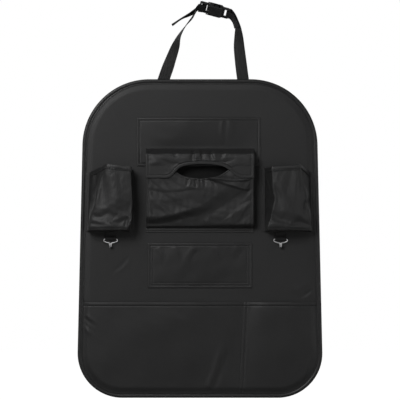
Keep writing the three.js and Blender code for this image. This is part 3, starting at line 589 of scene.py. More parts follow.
class Effects:
    """Shader groups that several finishes share, each built once."""

    def __init__(self) -> None:
        """Builds all the groups."""
        self.grain = self._grain()
        self.weave = self._weave()
        self.handling = self._handling()
        self.felt = self._felt()

    @staticmethod
    def _group(name: str, inputs: Sequence[str], outputs: Sequence[str]) -> tuple[Graph, dict, Node]:
        """Starts a shader group, whose sockets are numbers apart from the one named Vector.

        Args:
            name: The group's name.
            inputs: Its input names.
            outputs: Its output names.

        Returns:
            The graph, the input sockets by name, and the output node.
        """
        tree = bpy.data.node_groups.new(name, "ShaderNodeTree")
        for in_out, labels in (("INPUT", inputs), ("OUTPUT", outputs)):
            for label in labels:
                kind = "NodeSocketVector" if label == "Vector" else "NodeSocketFloat"
                tree.interface.new_socket(name=label, in_out=in_out, socket_type=kind)
        start, end = tree.nodes.new("NodeGroupInput"), tree.nodes.new("NodeGroupOutput")
        return Graph(tree), {label: start.outputs[label] for label in inputs}, end

    def _grain(self) -> NodeTree:
        """Pebble grain: rounded cells with fine creases between them.

        Returns:
            The group's node tree.
        """
        g, given, end = self._group("pebble_grain", ("Vector", "Scale"), ("Height", "Crease"))
        at, scale = given["Vector"], given["Scale"]
        drift = g.add("TexNoise", {"Vector": at, "Scale": g.math("MULTIPLY", scale, 0.45)})
        drifted = {0: drift.outputs["Color"], "Scale": 0.0008}
        shift = g.add("VectorMath", drifted, operation="SCALE").outputs[0]
        bent = g.add("VectorMath", {0: at, 1: shift}, operation="ADD").outputs[0]
        cells = g.add("TexVoronoi", {"Vector": bent, "Scale": scale}, feature="DISTANCE_TO_EDGE").outputs[0]
        pebble = g.ramp(cells, 0.0, 0.22)
        fine = g.noise(at, g.math("MULTIPLY", scale, 3.5), 3.0)
        height = g.math("ADD", g.math("MULTIPLY", pebble, 0.8), g.math("MULTIPLY", fine, 0.2))
        g.link(height, end, "Height")
        g.link(g.ramp(cells, 0.0, 0.12, 1.0, 0.0), end, "Crease")
        return g.tree

    def _weave(self) -> NodeTree:
        """Narrow ribs with picks across them, on coordinates that run across and along a strap.

        Returns:
            The group's node tree.
        """
        g, given, end = self._group("ribbed_weave", ("Vector", "Rib", "Pick"), ("Height", "Shade"))
        split = g.add("SeparateXYZ", {0: given["Vector"]})
        across = g.math("DIVIDE", split.outputs[0], given["Rib"])
        step = g.math("MULTIPLY", g.math("MODULO", g.math("FLOOR", g.math("ADD", across, 400.0)), 2.0), 0.5)
        along = g.math("ADD", g.math("DIVIDE", split.outputs[1], given["Pick"]), step)
        rib = g.math("ABSOLUTE", g.math("SINE", g.math("MULTIPLY", across, math.pi)))
        pick = g.math("ABSOLUTE", g.math("SINE", g.math("MULTIPLY", along, math.pi)))
        soft = g.math("ADD", 0.35, g.math("MULTIPLY", pick, 0.65))
        height = g.math("MULTIPLY", g.math("POWER", rib, 0.6), soft)
        g.link(height, end, "Height")
        g.link(g.ramp(height, 0.1, 0.8), end, "Shade")
        return g.tree

    def _handling(self) -> NodeTree:
        """Uneven gloss from handling, and paler wear where the surface turns sharply.

        Returns:
            The group's node tree.
        """
        g, given, end = self._group("handling_wear", ("Vector",), ("Gloss", "Wear"))
        broad = g.noise(given["Vector"], 14.0, 3.0)
        small = g.noise(given["Vector"], 160.0, 4.0)
        gloss = g.math("ADD", g.math("MULTIPLY", broad, 0.7), g.math("MULTIPLY", small, 0.3))
        turned = g.ramp(g.add("NewGeometry").outputs["Pointiness"], 0.505, 0.56)
        g.link(g.math("SUBTRACT", gloss, 0.5), end, "Gloss")
        g.link(g.math("MULTIPLY", turned, g.ramp(small, 0.3, 0.65)), end, "Wear")
        return g.tree

    def _felt(self) -> NodeTree:
        """Matted fibres with a grid of small pressed dots.

        Returns:
            The group's node tree.
        """
        g, given, end = self._group("matted_fibre", ("Vector", "Dots"), ("Height", "Fibre"))
        stretch = g.add("Mapping", {"Vector": given["Vector"], "Scale": (900.0, 900.0, 160.0)}).outputs[0]
        cross = g.add("Mapping", {"Vector": given["Vector"], "Scale": (170.0, 900.0, 900.0)}).outputs[0]
        fibre = g.math("MAXIMUM", g.noise(stretch, 1.0, 3.0), g.noise(cross, 1.0, 3.0))
        spots = {"Vector": given["Vector"], "Scale": given["Dots"], "Randomness": 0.12}
        pressed = g.ramp(g.add("TexVoronoi", spots).outputs["Distance"], 0.12, 0.26)
        g.link(g.math("MULTIPLY", fibre, pressed), end, "Height")
        g.link(fibre, end, "Fibre")
        return g.tree


def shaded(name: str) -> tuple[Material, Graph, Node, NodeSocket]:
    """An empty node material: the material, its graph, its Principled shader and object coordinates.

    Args:
        name: The material's name.

    Returns:
        Those four, in that order.
    """
    material = bpy.data.materials.new(name)
    material.use_nodes = True
    material.node_tree.nodes.clear()
    graph = Graph(material.node_tree)
    shader = graph.add("BsdfPrincipled")
    output = graph.add("OutputMaterial")
    graph.link(shader.outputs[0], output, 0)
    return material, graph, shader, graph.add("TexCoord").outputs["Object"]


def feed(
    graph: Graph,
    shader: Node,
    colour: NodeSocket,
    roughness: NodeSocket,
    height: NodeSocket,
    relief: float,
    strength: float,
) -> None:
    """Connects a finish's colour, roughness and bump to its shader.

    Args:
        graph: The material's graph.
        shader: Its Principled shader.
        colour: Socket for Base Color.
        roughness: Socket for Roughness.
        height: Socket for the bump's Height.
        relief: Height of the bump in metres.
        strength: How much of the bump shows.
    """
    bump = graph.add("Bump", {"Height": height, "Distance": relief, "Strength": strength})
    graph.link(colour, shader, "Base Color")
    graph.link(roughness, shader, "Roughness")
    graph.link(bump.outputs[0], shader, "Normal")


def placed(graph: Graph, tree: NodeTree, **inputs: object) -> Node:
    """A shared shader group placed in a material with its own values."""
    return graph.add("Group", inputs, node_tree=tree)


@dataclass(frozen=True)
class Leather:
    """Coated leatherette: satin, with a fine pebble grain and paler worn folds.

    An optional patch of painted shade behind the pouch's opening is given as its middle in x and z and its
    half width and height, in metres. Inside it the cover is dark and matt, standing in for the shade inside
    the pouch.
    """

    name: str
    colour: tuple[float, float, float]
    worn: tuple[float, float, float]
    roughness: float = 0.5
    grain: float = 820.0
    relief: float = 0.00007
    strength: float = 0.32
    crease_shade: float = 0.55
    wear: float = 0.6
    gloss_spread: float = 0.16
    crease_dulling: float = 0.12
    # painted shade behind the pouch's opening: its place, its dark colour and the width of its soft edge
    uncoated: tuple[float, float, float, float] | None = None
    bare: tuple[float, float, float] = (0.009, 0.009, 0.009)
    coat_fade: float = 0.006

    def material(self, effects: Effects) -> Material:
        """Builds the material.

        Args:
            effects: The shared node groups.

        Returns:
            The dressed material.
        """
        material, g, shader, at = shaded(self.name)
        grain = placed(g, effects.grain, Vector=at, Scale=self.grain)
        handling = placed(g, effects.handling, Vector=at)
        crease = grain.outputs["Crease"]
        dark = g.blend(crease, (*self.colour, 1), (*(c * self.crease_shade for c in self.colour), 1))
        colour = g.blend(g.math("MULTIPLY", handling.outputs["Wear"], self.wear), dark, (*self.worn, 1))
        gloss = g.math("MULTIPLY", handling.outputs["Gloss"], self.gloss_spread)
        dulling = g.math("MULTIPLY", crease, self.crease_dulling)
        rough = g.math("ADD", g.math("ADD", gloss, self.roughness), dulling)
        # painted shade: inside the patch the cover turns dark and fully matt, standing in for the shade in
        # the pouch
        if self.uncoated:
            outside_shade = self._coat(g, at)
            colour = g.blend(outside_shade, (*self.bare, 1), colour)
            rough = g.math("MAXIMUM", rough, g.math("SUBTRACT", 1.0, outside_shade))
        feed(g, shader, colour, rough, grain.outputs["Height"], self.relief, self.strength)
        shader.inputs["Sheen Weight"].default_value = 0.02
        shader.inputs["Specular IOR Level"].default_value = 0.5
        return material

    def _coat(self, g: Graph, at: NodeSocket) -> NodeSocket:
        """How far a place lies outside the patch of painted shade behind the pouch's opening: 0 inside it, 1
        elsewhere.

        Args:
            g: The material's graph.
            at: Object coordinates.

        Returns:
            The share outside the painted shade, 0 to 1.
        """
        x, z, half_width, half_height = self.uncoated
        split = g.add("SeparateXYZ", {0: at})
        aside = g.math("ABSOLUTE", g.math("SUBTRACT", split.outputs[0], x))
        apart = g.math("ABSOLUTE", g.math("SUBTRACT", split.outputs[2], z))
        beside = g.ramp(aside, half_width - self.coat_fade, half_width)
        beyond = g.ramp(apart, half_height - self.coat_fade, half_height)
        return g.math("MAXIMUM", beside, beyond)


@dataclass(frozen=True)
class Woven:
    """Woven webbing or tape with ribs along it."""

    name: str
    colour: tuple[float, float, float]
    light: tuple[float, float, float]
    rib: float = 0.0011
    pick: float = 0.0016
    roughness: float = 0.62
    strength: float = 0.8

    def material(self, effects: Effects) -> Material:
        """Builds the material.

        Args:
            effects: The shared node groups.

        Returns:
            The dressed material.
        """
        material, g, shader, at = shaded(self.name)
        lie = g.add("Attribute", attribute_name="weave").outputs["Vector"]
        weave = placed(g, effects.weave, Vector=lie, Rib=self.rib, Pick=self.pick)
        handling = placed(g, effects.handling, Vector=at)
        colour = g.blend(weave.outputs["Shade"], (*(c * 0.4 for c in self.colour), 1), (*self.light, 1))
        rough = g.math("ADD", g.math("MULTIPLY", handling.outputs["Gloss"], 0.2), self.roughness)
        feed(g, shader, colour, rough, weave.outputs["Height"], 0.0003, self.strength)
        shader.inputs["Sheen Weight"].default_value = 0.03
        shader.inputs["Specular IOR Level"].default_value = 0.35
        return material


@dataclass(frozen=True)
class Felted:
    """Matted or piled fabric: lining, foam, hook and loop tape."""

    name: str
    colour: tuple[float, float, float]
    light: tuple[float, float, float]
    dots: float = 420.0
    relief: float = 0.0002
    sheen: float = 0.1

    def material(self, effects: Effects) -> Material:
        """Builds the material.

        Args:
            effects: The shared node groups.

        Returns:
            The dressed material.
        """
        material, g, shader, at = shaded(self.name)
        felt = placed(g, effects.felt, Vector=at, Dots=self.dots)
        shade = g.ramp(felt.outputs["Fibre"], 0.4, 0.75)
        colour = g.blend(shade, (*self.colour, 1), (*self.light, 1))
        rough = g.ramp(felt.outputs["Fibre"], 0.3, 0.8, 0.95, 0.75)
        feed(g, shader, colour, rough, felt.outputs["Height"], self.relief, 0.7)
        shader.inputs["Sheen Weight"].default_value = self.sheen
        return material


@dataclass(frozen=True)
class Moulded:
    """Moulded plastic: satin with a very fine texture and worn edges."""

    name: str
    colour: tuple[float, float, float]
    worn: tuple[float, float, float]
    roughness: float = 0.38

    def material(self, effects: Effects) -> Material:
        """Builds the material.

        Args:
            effects: The shared node groups.

        Returns:
            The dressed material.
        """
        material, g, shader, at = shaded(self.name)
        handling = placed(g, effects.handling, Vector=at)
        colour = g.blend(handling.outputs["Wear"], (*self.colour, 1), (*self.worn, 1))
        rough = g.math("ADD", g.math("MULTIPLY", handling.outputs["Gloss"], 0.22), self.roughness)
        feed(g, shader, colour, rough, g.noise(at, 2600.0, 3.0), 0.00004, 0.35)
        return material


@dataclass(frozen=True)
class Steel:
    """Bright drawn wire with fine draw lines."""

    name: str
    colour: tuple[float, float, float]
    roughness: float = 0.2

    def material(self, effects: Effects) -> Material:
        """Builds the material.

        Args:
            effects: The shared node groups.

        Returns:
            The dressed material.
        """
        material, g, shader, at = shaded(self.name)
        handling = placed(g, effects.handling, Vector=at)
        stain = g.ramp(handling.outputs["Gloss"], -0.05, 0.3)
        colour = g.blend(stain, (*self.colour, 1), (*(c * 0.72 for c in self.colour), 1))
        rough = g.math("ADD", g.math("MULTIPLY", handling.outputs["Gloss"], 0.3), self.roughness)
        feed(g, shader, colour, rough, g.noise(at, 3200.0, 2.0), 0.00002, 0.3)
        shader.inputs["Metallic"].default_value = 1.0
        return material


@dataclass(frozen=True)
class Spun:
    """Twisted polyester sewing thread."""

    name: str
    colour: tuple[float, float, float]
    light: tuple[float, float, float]

    def material(self, effects: Effects) -> Material:
        """Builds the material.

        Args:
            effects: The shared node groups; not used.

        Returns:
            The dressed material.
        """
        material, g, shader, at = shaded(self.name)
        twist = g.noise(at, 2200.0, 2.0)
        colour = g.blend(g.ramp(twist, 0.35, 0.7), (*self.colour, 1), (*self.light, 1))
        rough = g.ramp(twist, 0.3, 0.7, 0.6, 0.45)
        feed(g, shader, colour, rough, twist, 0.0001, 0.5)
        shader.inputs["Sheen Weight"].default_value = 0.2
        return material


COAT_BLACK, COAT_WORN = (0.0155, 0.0155, 0.0158), (0.03, 0.03, 0.0305)
# where the cover gets painted shade behind the pouch's opening: middle x and z, half width and half height,
# in metres
POUCH_SHADE_PATCH = (0.0, 0.1, 0.085, 0.045)
FINISHES = {
    "leatherette": Leather("leatherette", COAT_BLACK, COAT_WORN),
    "cover": Leather("cover_leatherette", COAT_BLACK, COAT_WORN, uncoated=POUCH_SHADE_PATCH),
    "binding": Leather(
        "binding", (0.013, 0.013, 0.0134), (0.032, 0.032, 0.032), 0.42, 1150.0, 0.00005, 0.28
    ),
    "foam": Felted("foam", (0.07, 0.07, 0.075), (0.11, 0.11, 0.115), 900.0),
    "lining": Felted("lining", (0.010, 0.010, 0.0105), (0.024, 0.024, 0.025)),
    "tape": Felted("tape", (0.006, 0.006, 0.0065), (0.022, 0.022, 0.023), 700.0, 0.0004, 0.4),
    "webbing": Woven("webbing", (0.006, 0.006, 0.0062), (0.019, 0.019, 0.0193), 0.0018, 0.0020, 0.55, 1.0),
    "thread": Spun("thread", (0.012, 0.012, 0.0125), (0.035, 0.035, 0.036)),
    "steel": Steel("steel_wire", (0.95, 0.95, 0.96), 0.55),
    "plastic": Moulded("buckle_plastic", (0.011, 0.011, 0.0115), (0.03, 0.03, 0.03)),
}


class Bench:
    """Turns shapes into dressed objects that ride on a body of the frame."""

    def __init__(self) -> None:
        """Builds every finish's material."""
        effects = Effects()
        self.materials = {key: finish.material(effects) for key, finish in FINISHES.items()}

    def place(
        self,
        name: str,
        shape: Shape,
        finish: str,
        slot: Slot,
        body: str = ORGANIZER,
        replaces: Sequence[str] = (),
        crease: float = 50.0,
    ) -> Object:
        """Makes a shape into an object with its finish, on its body.

        Args:
            name: The piece's name.
            shape: Its mesh in millimetres.
            finish: Key of its finish.
            slot: The record's material slot; not used.
            body: The body it rides on.
            replaces: CAD nodes it stands for.
            crease: Angle in degrees above which an edge stays sharp.

        Returns:
            The object.
        """
        mesh = bpy.data.meshes.new(name)
        mesh.from_pydata((shape.points * MM).tolist(), [], shape.faces)
        mesh.shade_smooth()
        mesh.set_sharp_from_angle(angle=math.radians(crease))
        if shape.weave is not None:
            lie = mesh.attributes.new("weave", "FLOAT_VECTOR", "POINT")
            lie.data.foreach_set("vector", (shape.weave * MM).astype(np.float32).ravel())
        mesh.materials.append(self.materials[finish])
        piece = bpy.data.objects.new(name, mesh)
        bpy.context.scene.collection.objects.link(piece)
        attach(piece, body)
        if replaces:
            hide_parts(*replaces)
        triangles = sum(len(face) - 2 for face in shape.faces)
        LOG.info("%s on %s: %d triangles", name, body, triangles)
        return piece

    def cut(self, name: str, shape: Shape, node: str) -> Object:
        """A leatherette piece that stands for one CAD node."""
        return self.place(name, shape, "leatherette", Slot.LEATHERETTE, replaces=[node])

    def sew(self, name: str, stitches: Sequence[Shape], slot: Slot = Slot.LEATHERETTE) -> None:
        """Makes one object of many stitches."""
        self.place(name, Shape.joined(stitches), "thread", slot)


@dataclass(frozen=True)
class Box:
    """A CAD node's box in millimetres."""

    x0: float
    y0: float
    z0: float
    x1: float
    y1: float
    z1: float

    @classmethod
    def of(cls, node: str) -> "Box":
        """The box of a node at rest."""
        low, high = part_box(node)
        return cls(*(value / MM for value in (*low, *high)))


# The panel


@dataclass(frozen=True)
class PanelForm:
    """The panel's outline, a tapered rectangle with round corners, and its padded front surface."""

    top_width: float = 395.0
    bottom_width: float = 420.0
    top_radius: float = 114.0
    bottom_radius: float = 76.0
    height: float = 542.0
    front: float = 5.0
    binding_width: float = 8.0
    edge_dip: float = 0.8
    pocket_dip: float = 1.15
    bulge: float = 0.6
    bulge_reach: float = 11.0
    pocket_mouth: float = -108.5
    waves: tuple[Ripple, ...] = (Ripple(11, 190.0, 0.22), Ripple(5, 75.0, 0.07))
    creases: tuple[Crease, ...] = (
        Crease(((-118, -26), (-132, -44), (-154, -62)), -0.35, 3.2, 0.5),
        Crease(((192, -86), (180, -95), (169, -101)), -0.7, 2.6, 0.7, (0.05, 0.6)),
        Crease(((188, -70), (170, -84), (150, -92)), 0.35, 6.0),
    )

    @property
    def top(self) -> float:
        """Height of the top edge."""
        return self.height / 2

    @property
    def angle(self) -> float:
        """Lean of the sides from upright, in radians."""
        return math.atan((self.bottom_width - self.top_width) / 2 / self.height)

    def side_at(self, z: Array) -> Array:
        """Half the width between the straight sides at a height."""
        return self.top_width / 2 + (self.top - z) * math.tan(self.angle)

    def corners(self) -> tuple[tuple[float, float, float, float], ...]:
        """The lower and upper corner: centre x, centre z, radius and direction up or down.

        Returns:
            Both corners.
        """
        found = []
        for radius, turn in ((self.bottom_radius, -1), (self.top_radius, 1)):
            z = turn * (self.top - radius)
            found.append((self.side_at(z) - radius / math.cos(self.angle), z, radius, turn))
        return tuple(found)

    def half_width(self, z: Array, inset: float = 0.0) -> Array:
        """Half the panel's width at a height, moved in by inset.

        Args:
            z: Heights in millimetres.
            inset: How far inside the outline.

        Returns:
            The half width at each height.
        """
        width = self.side_at(z) - inset / math.cos(self.angle)
        for x, centre, radius, turn in self.corners():
            rise = np.maximum((z - centre) * turn, 0)
            round_part = x + np.sqrt(np.maximum((radius - inset) ** 2 - rise**2, 0))
            width = np.where((z - centre) * turn > 0, round_part, width)
        return width

    def edge_distance(self, x: Array, z: Array) -> Array:
        """How far a place lies inside the outline.

        Args:
            x: Places across, in millimetres.
            z: Their heights, in millimetres.

        Returns:
            The distance of each place from the nearest edge.
        """
        a = np.abs(x)
        distance = np.minimum((self.side_at(z) - a) * math.cos(self.angle), self.top - np.abs(z))
        for cx, cz, radius, turn in self.corners():
            inside = (a > cx) & ((z - cz) * turn > 0)
            distance = np.where(inside, radius - np.hypot(a - cx, z - cz), distance)
        return distance

    def rim(self, spacing: float) -> tuple[Array, Array]:
        """Places in x and z round the outline, counter-clockwise from the front, and outward normals.

        Args:
            spacing: The distance between two places.

        Returns:
            The places and the normals.
        """
        (lx, lz, lr, _), (ux, uz, ur, _) = self.corners()
        quarter, lean = math.pi / 2, self.angle
        arcs = [
            (lx, lz, lr, -quarter, lean),
            (ux, uz, ur, lean, quarter),
            (-ux, uz, ur, quarter, 2 * quarter - lean),
            (-lx, lz, lr, 2 * quarter - lean, 3 * quarter),
        ]
        places_, normals = [], []
        for (cx, cz, radius, start, end), (nx, nz, nr, begin, _) in zip(arcs, arcs[1:] + arcs[:1]):
            angles = np.linspace(start, end, int(radius * (end - start) / spacing) + 1)
            around = np.stack([np.cos(angles), np.sin(angles)], axis=1)
            places_.append(np.array([cx, cz]) + radius * around)
            normals.append(around)
            target = np.array([nx, nz]) + nr * np.array([math.cos(begin), math.sin(begin)])
            here = places_[-1][-1]
            count = int(np.linalg.norm(target - here) / spacing)
            shares = (np.arange(1, count) / count)[:, None]
            places_.append(mix(here, target, shares))
            normals.append(np.repeat(around[-1:], count - 1, axis=0))
        return np.concatenate(places_), np.concatenate(normals)

    def rows(self, inset: float, spacing: float) -> Array:
        """Heights of the rows of a grid that fills the outline, close together at the round corners.

        Args:
            inset: How far inside the outline.
            spacing: The distance between two rows.

        Returns:
            The heights, upwards.
        """
        (_, low, lower, _), (_, high, upper, _) = self.corners()
        arc = [np.linspace(0, math.pi / 2, int(1.3 * r / spacing)) for r in (lower, upper)]
        below = low - (lower - inset) * np.sin(arc[0][::-1])
        above = high + (upper - inset) * np.sin(arc[1])
        between = np.linspace(low, high, int((high - low) / spacing))
        return np.concatenate([below, between[1:-1], above])

    def relief(self, x: Array, z: Array) -> Array:
        """How far the cover's front stands off the plane of the CAD panel's front.

        Args:
            x: Places across, in millimetres.
            z: Their heights, in millimetres.

        Returns:
            The relief at each place, in millimetres.
        """
        inner = self.edge_distance(x, z) - self.binding_width
        rise = smooth(inner / self.bulge_reach)
        under_pocket = smooth((self.pocket_mouth - z) / 6.0 + 0.5)
        dip = self.edge_dip + self.pocket_dip * under_pocket
        slack = total([*self.waves, *self.creases], x, z)
        return mix(-dip, self.bulge + slack, rise)

    def grid(self, inset: float, spacing: float) -> tuple[Array, Array]:
        """Places in x and z of a grid that fills the outline.

        Args:
            inset: How far inside the outline.
            spacing: The distance between two places.

        Returns:
            The grid's places across and its heights.
        """
        z = self.rows(inset, spacing)
        widest = float(self.half_width(np.array(-self.top + self.bottom_radius), inset))
        u = np.linspace(-1, 1, int(2 * widest / spacing) + 1)
        return u[None, :] * self.half_width(z, inset)[:, None], np.repeat(z[:, None], len(u), axis=1)


@dataclass
class Panel:
    """The padded panel: cover, foam, lining and the binding round its edge."""

    form: PanelForm
    bench: Bench
    rim_inset: float = 1.1
    cover: float = 1.2
    lining: float = 0.8
    spacing: float = 2.5
    binding_spacing: float = 1.25
    seam_inset: float = 6.3
    layer_gap: float = 0.05
    foam_inset: float = 0.6
    thinnest_foam: float = 0.4
    foam_fill: float = 0.3
    flat_size: tuple[float, float] = (0.420, 0.542)
    flat_area: float = 0.2135
    thread: Thread = field(default_factory=Thread)

    def lining_rear(self, x: Array, z: Array) -> Array:
        """Y of the lining's rear face, a little behind the binding's rear leg at the rim."""
        inner = self.form.edge_distance(x, z) - self.form.binding_width
        slack = 0.12 + Ripple(23, 60.0, 0.06)(x, z)
        return -mix(0.95, np.maximum(slack, 0.02), smooth(inner / 6.0 + 0.2))

    def build(self) -> Shape:
        """Builds the four pieces.

        Returns:
            The cover's shape, which pockets are sewn to.
        """
        form = self.form
        x, z = form.grid(self.rim_inset, self.spacing)
        front = np.stack([x, -(form.front + form.relief(x, z)), z], axis=-1)
        cover = closed_sheet(front, self.cover, REARWARD)
        piece = self.bench.place("panel_cover", cover, "cover", Slot.LEATHERETTE, replaces=["front_cover"])

        x, z = form.grid(self.rim_inset + self.foam_inset, self.spacing * 2)
        top = -(form.front + form.relief(x, z)) + self.cover + self.layer_gap
        low = self.lining_rear(x, z) - self.lining - self.layer_gap
        thickness = np.maximum(low - top, self.thinnest_foam)
        foam = closed_sheet(np.stack([x, top, z], axis=-1), thickness, REARWARD)
        piece = self.bench.place("panel_foam", foam, "foam", Slot.FOAM, replaces=["foam_sheet"])

        x, z = form.grid(self.rim_inset, self.spacing)
        rear = np.stack([-x, self.lining_rear(x, z), z], axis=-1)
        lining = closed_sheet(rear, self.lining, FRONTWARD)
        piece = self.bench.place("panel_lining", lining, "lining", Slot.LINING, replaces=["back_lining"])
        self._binding()
        return cover

    def _binding(self) -> None:
        """Builds the tape folded round the panel's edge, and its stitches."""
        front = -self.form.front
        low = front + self.form.edge_dip
        section = np.array(
            [
                (8.15, low - 0.05), (8.2, low - 0.55), (7.8, low - 1.0), (7.2, low - 0.95),
                (self.seam_inset, low - 0.4), (5.4, low - 1.0), (4.0, low - 1.45), (2.4, low - 1.35),
                (1.1, low - 0.75), (0.35, low + 0.1), (0.0, low + 1.2), (0.0, -1.6), (0.3, -0.7),
                (1.0, -0.15), (2.4, -0.02), (4.6, -0.02), (5.6, -0.08), (self.seam_inset, -0.35),
                (7.1, -0.06), (7.8, -0.12), (8.2, -0.45), (8.1, -0.85), (4.5, -0.85), (0.95, -0.95),
                (0.9, -2.4), (0.95, low + 0.1), (4.5, low - 0.02),
            ]
        )
        places_, normals = self.form.rim(self.binding_spacing)
        run = np.arange(len(places_)) * self.binding_spacing
        pucker = 0.12 * np.sin(run * math.tau / self.thread.pitch)
        pucker = pucker + 0.1 * np.sin(run / 9.0 + 2 * np.sin(run / 31))
        gathered = hump(section[:, 0], self.seam_inset, 2.2) * (section[:, 1] < -2.4)
        inset = section[None, :, 0] + 0.12 * np.sin(run / 14.0)[:, None] * (section[None, :, 0] > 7)
        y = section[None, :, 1] - pucker[:, None] * gathered[None, :]
        flat = places_[:, None, :] - normals[:, None, :] * inset[..., None]
        rings = np.stack([flat[..., 0], y, flat[..., 1]], axis=-1)
        shape = swept(rings[:, ::-1], looped=True)
        weave = np.stack([inset, np.repeat(run[:, None], len(section), axis=1), 0 * inset], axis=-1)
        shape.weave = weave[:, ::-1].reshape(-1, 3)
        self.bench.place("edge_tape", shape, "binding", Slot.BINDING, replaces=["edge_binding"])
        seam = places_ - normals * self.seam_inset
        stitches = []
        for y_row, outward in ((low - 0.58, -1.0), (-0.33, 1.0)):
            path = np.stack([seam[:, 0], np.full(len(seam), y_row), seam[:, 1]], axis=1)
            closed = np.concatenate([path, path[:1]])
            stitches += self.thread.row(closed, np.tile([0.0, outward, 0.0], (len(closed), 1)))
        self.bench.sew("edge_stitching", stitches, Slot.BINDING)


# Flat patch pockets


@dataclass
class PatchPocket:
    """A flat pocket sewn on at its sides and bottom, its mouth standing a little off the panel."""

    name: str
    form: PanelForm
    bench: Bench
    sewn_up_to: float | None = None
    seam: Seam = Seam(4.2, 0.6, 0.8, 0.3)
    second_row: float | None = None
    swell: float = 6.0
    sheet: float = 1.2
    sewn: float = 4.0
    easing: float = 9.0
    pucker_reach: float = 5.0
    creases: tuple[Crease, ...] = ()
    waves: tuple[Ripple, ...] = ()
    thread: Thread = field(default_factory=Thread)

    def build(self) -> None:
        """Builds the pocket and its stitches from its CAD node's box."""
        box = Box.of(self.name)
        low = box.z0 if self.sewn_up_to is None else self.sewn_up_to
        xs = places(box.x0, box.x1, [box.x0, box.x1], coarse=2.0)
        zs = places(box.z0, box.z1, [box.z0, box.z1], coarse=2.0)
        x, z = np.meshgrid(xs, zs)
        aside = np.minimum(x - box.x0, box.x1 - x)
        across = arched(aside, self.sewn, (box.x1 - box.x0) / 2)
        up = arched(z - low, self.sewn, box.z1 - low)
        edge = np.minimum(np.minimum(aside, z - box.z0), box.z1 - z)
        slack = total([*self.creases, *self.waves], x, z) * mix(0.25, 1.0, smooth(edge / self.easing))
        puckers = Ripple(31, 9.0, 0.09)(x, z) * hump(edge, self.seam.inset, self.pucker_reach)
        lift = self.form.relief(x, z) + self.sheet + self.swell * across * up
        lift = lift + slack + puckers + self.seam(edge)
        if self.second_row is not None:
            lift = lift - 0.4 * hump(edge, self.second_row, 0.8) * (box.z1 - z > edge + 0.1)
        front = np.stack([x, -(self.form.front + lift), z], axis=-1)
        shape = closed_sheet(front, self.sheet, REARWARD)
        piece = self.bench.cut(f"{self.name}_sheet", shape, self.name)
        tree = shape.surface()
        stitches = []
        insets = [self.seam.inset] + ([self.second_row] if self.second_row else [])
        for inset in insets:
            corners = [(box.x0, box.z1), (box.x0, box.z0), (box.x1, box.z0), (box.x1, box.z1)]
            path = [(x - math.copysign(inset, x), z + inset * (z == box.z0)) for x, z in corners]
            stitches += self._row(tree, path)
        hem = box.z1 - self.seam.inset
        stitches += self._row(tree, [(box.x0 + 5, hem), (box.x1 - 5, hem)])
        self.bench.sew(f"{self.name}_stitching", stitches)

    def _row(self, tree: BVHTree, path: Sequence[tuple[float, float]]) -> list[Shape]:
        """Stitches along corners in x and z.

        Args:
            tree: The sheet's surface.
            path: The corners.

        Returns:
            The stitches.
        """
        found = []
        for (x0, z0), (x1, z1) in zip(path, path[1:]):
            ends = np.array([(x0, 0.0, z0), (x1, 0.0, z1)])
            found += self.thread.on(tree, ends, -FRONTWARD)
        return found


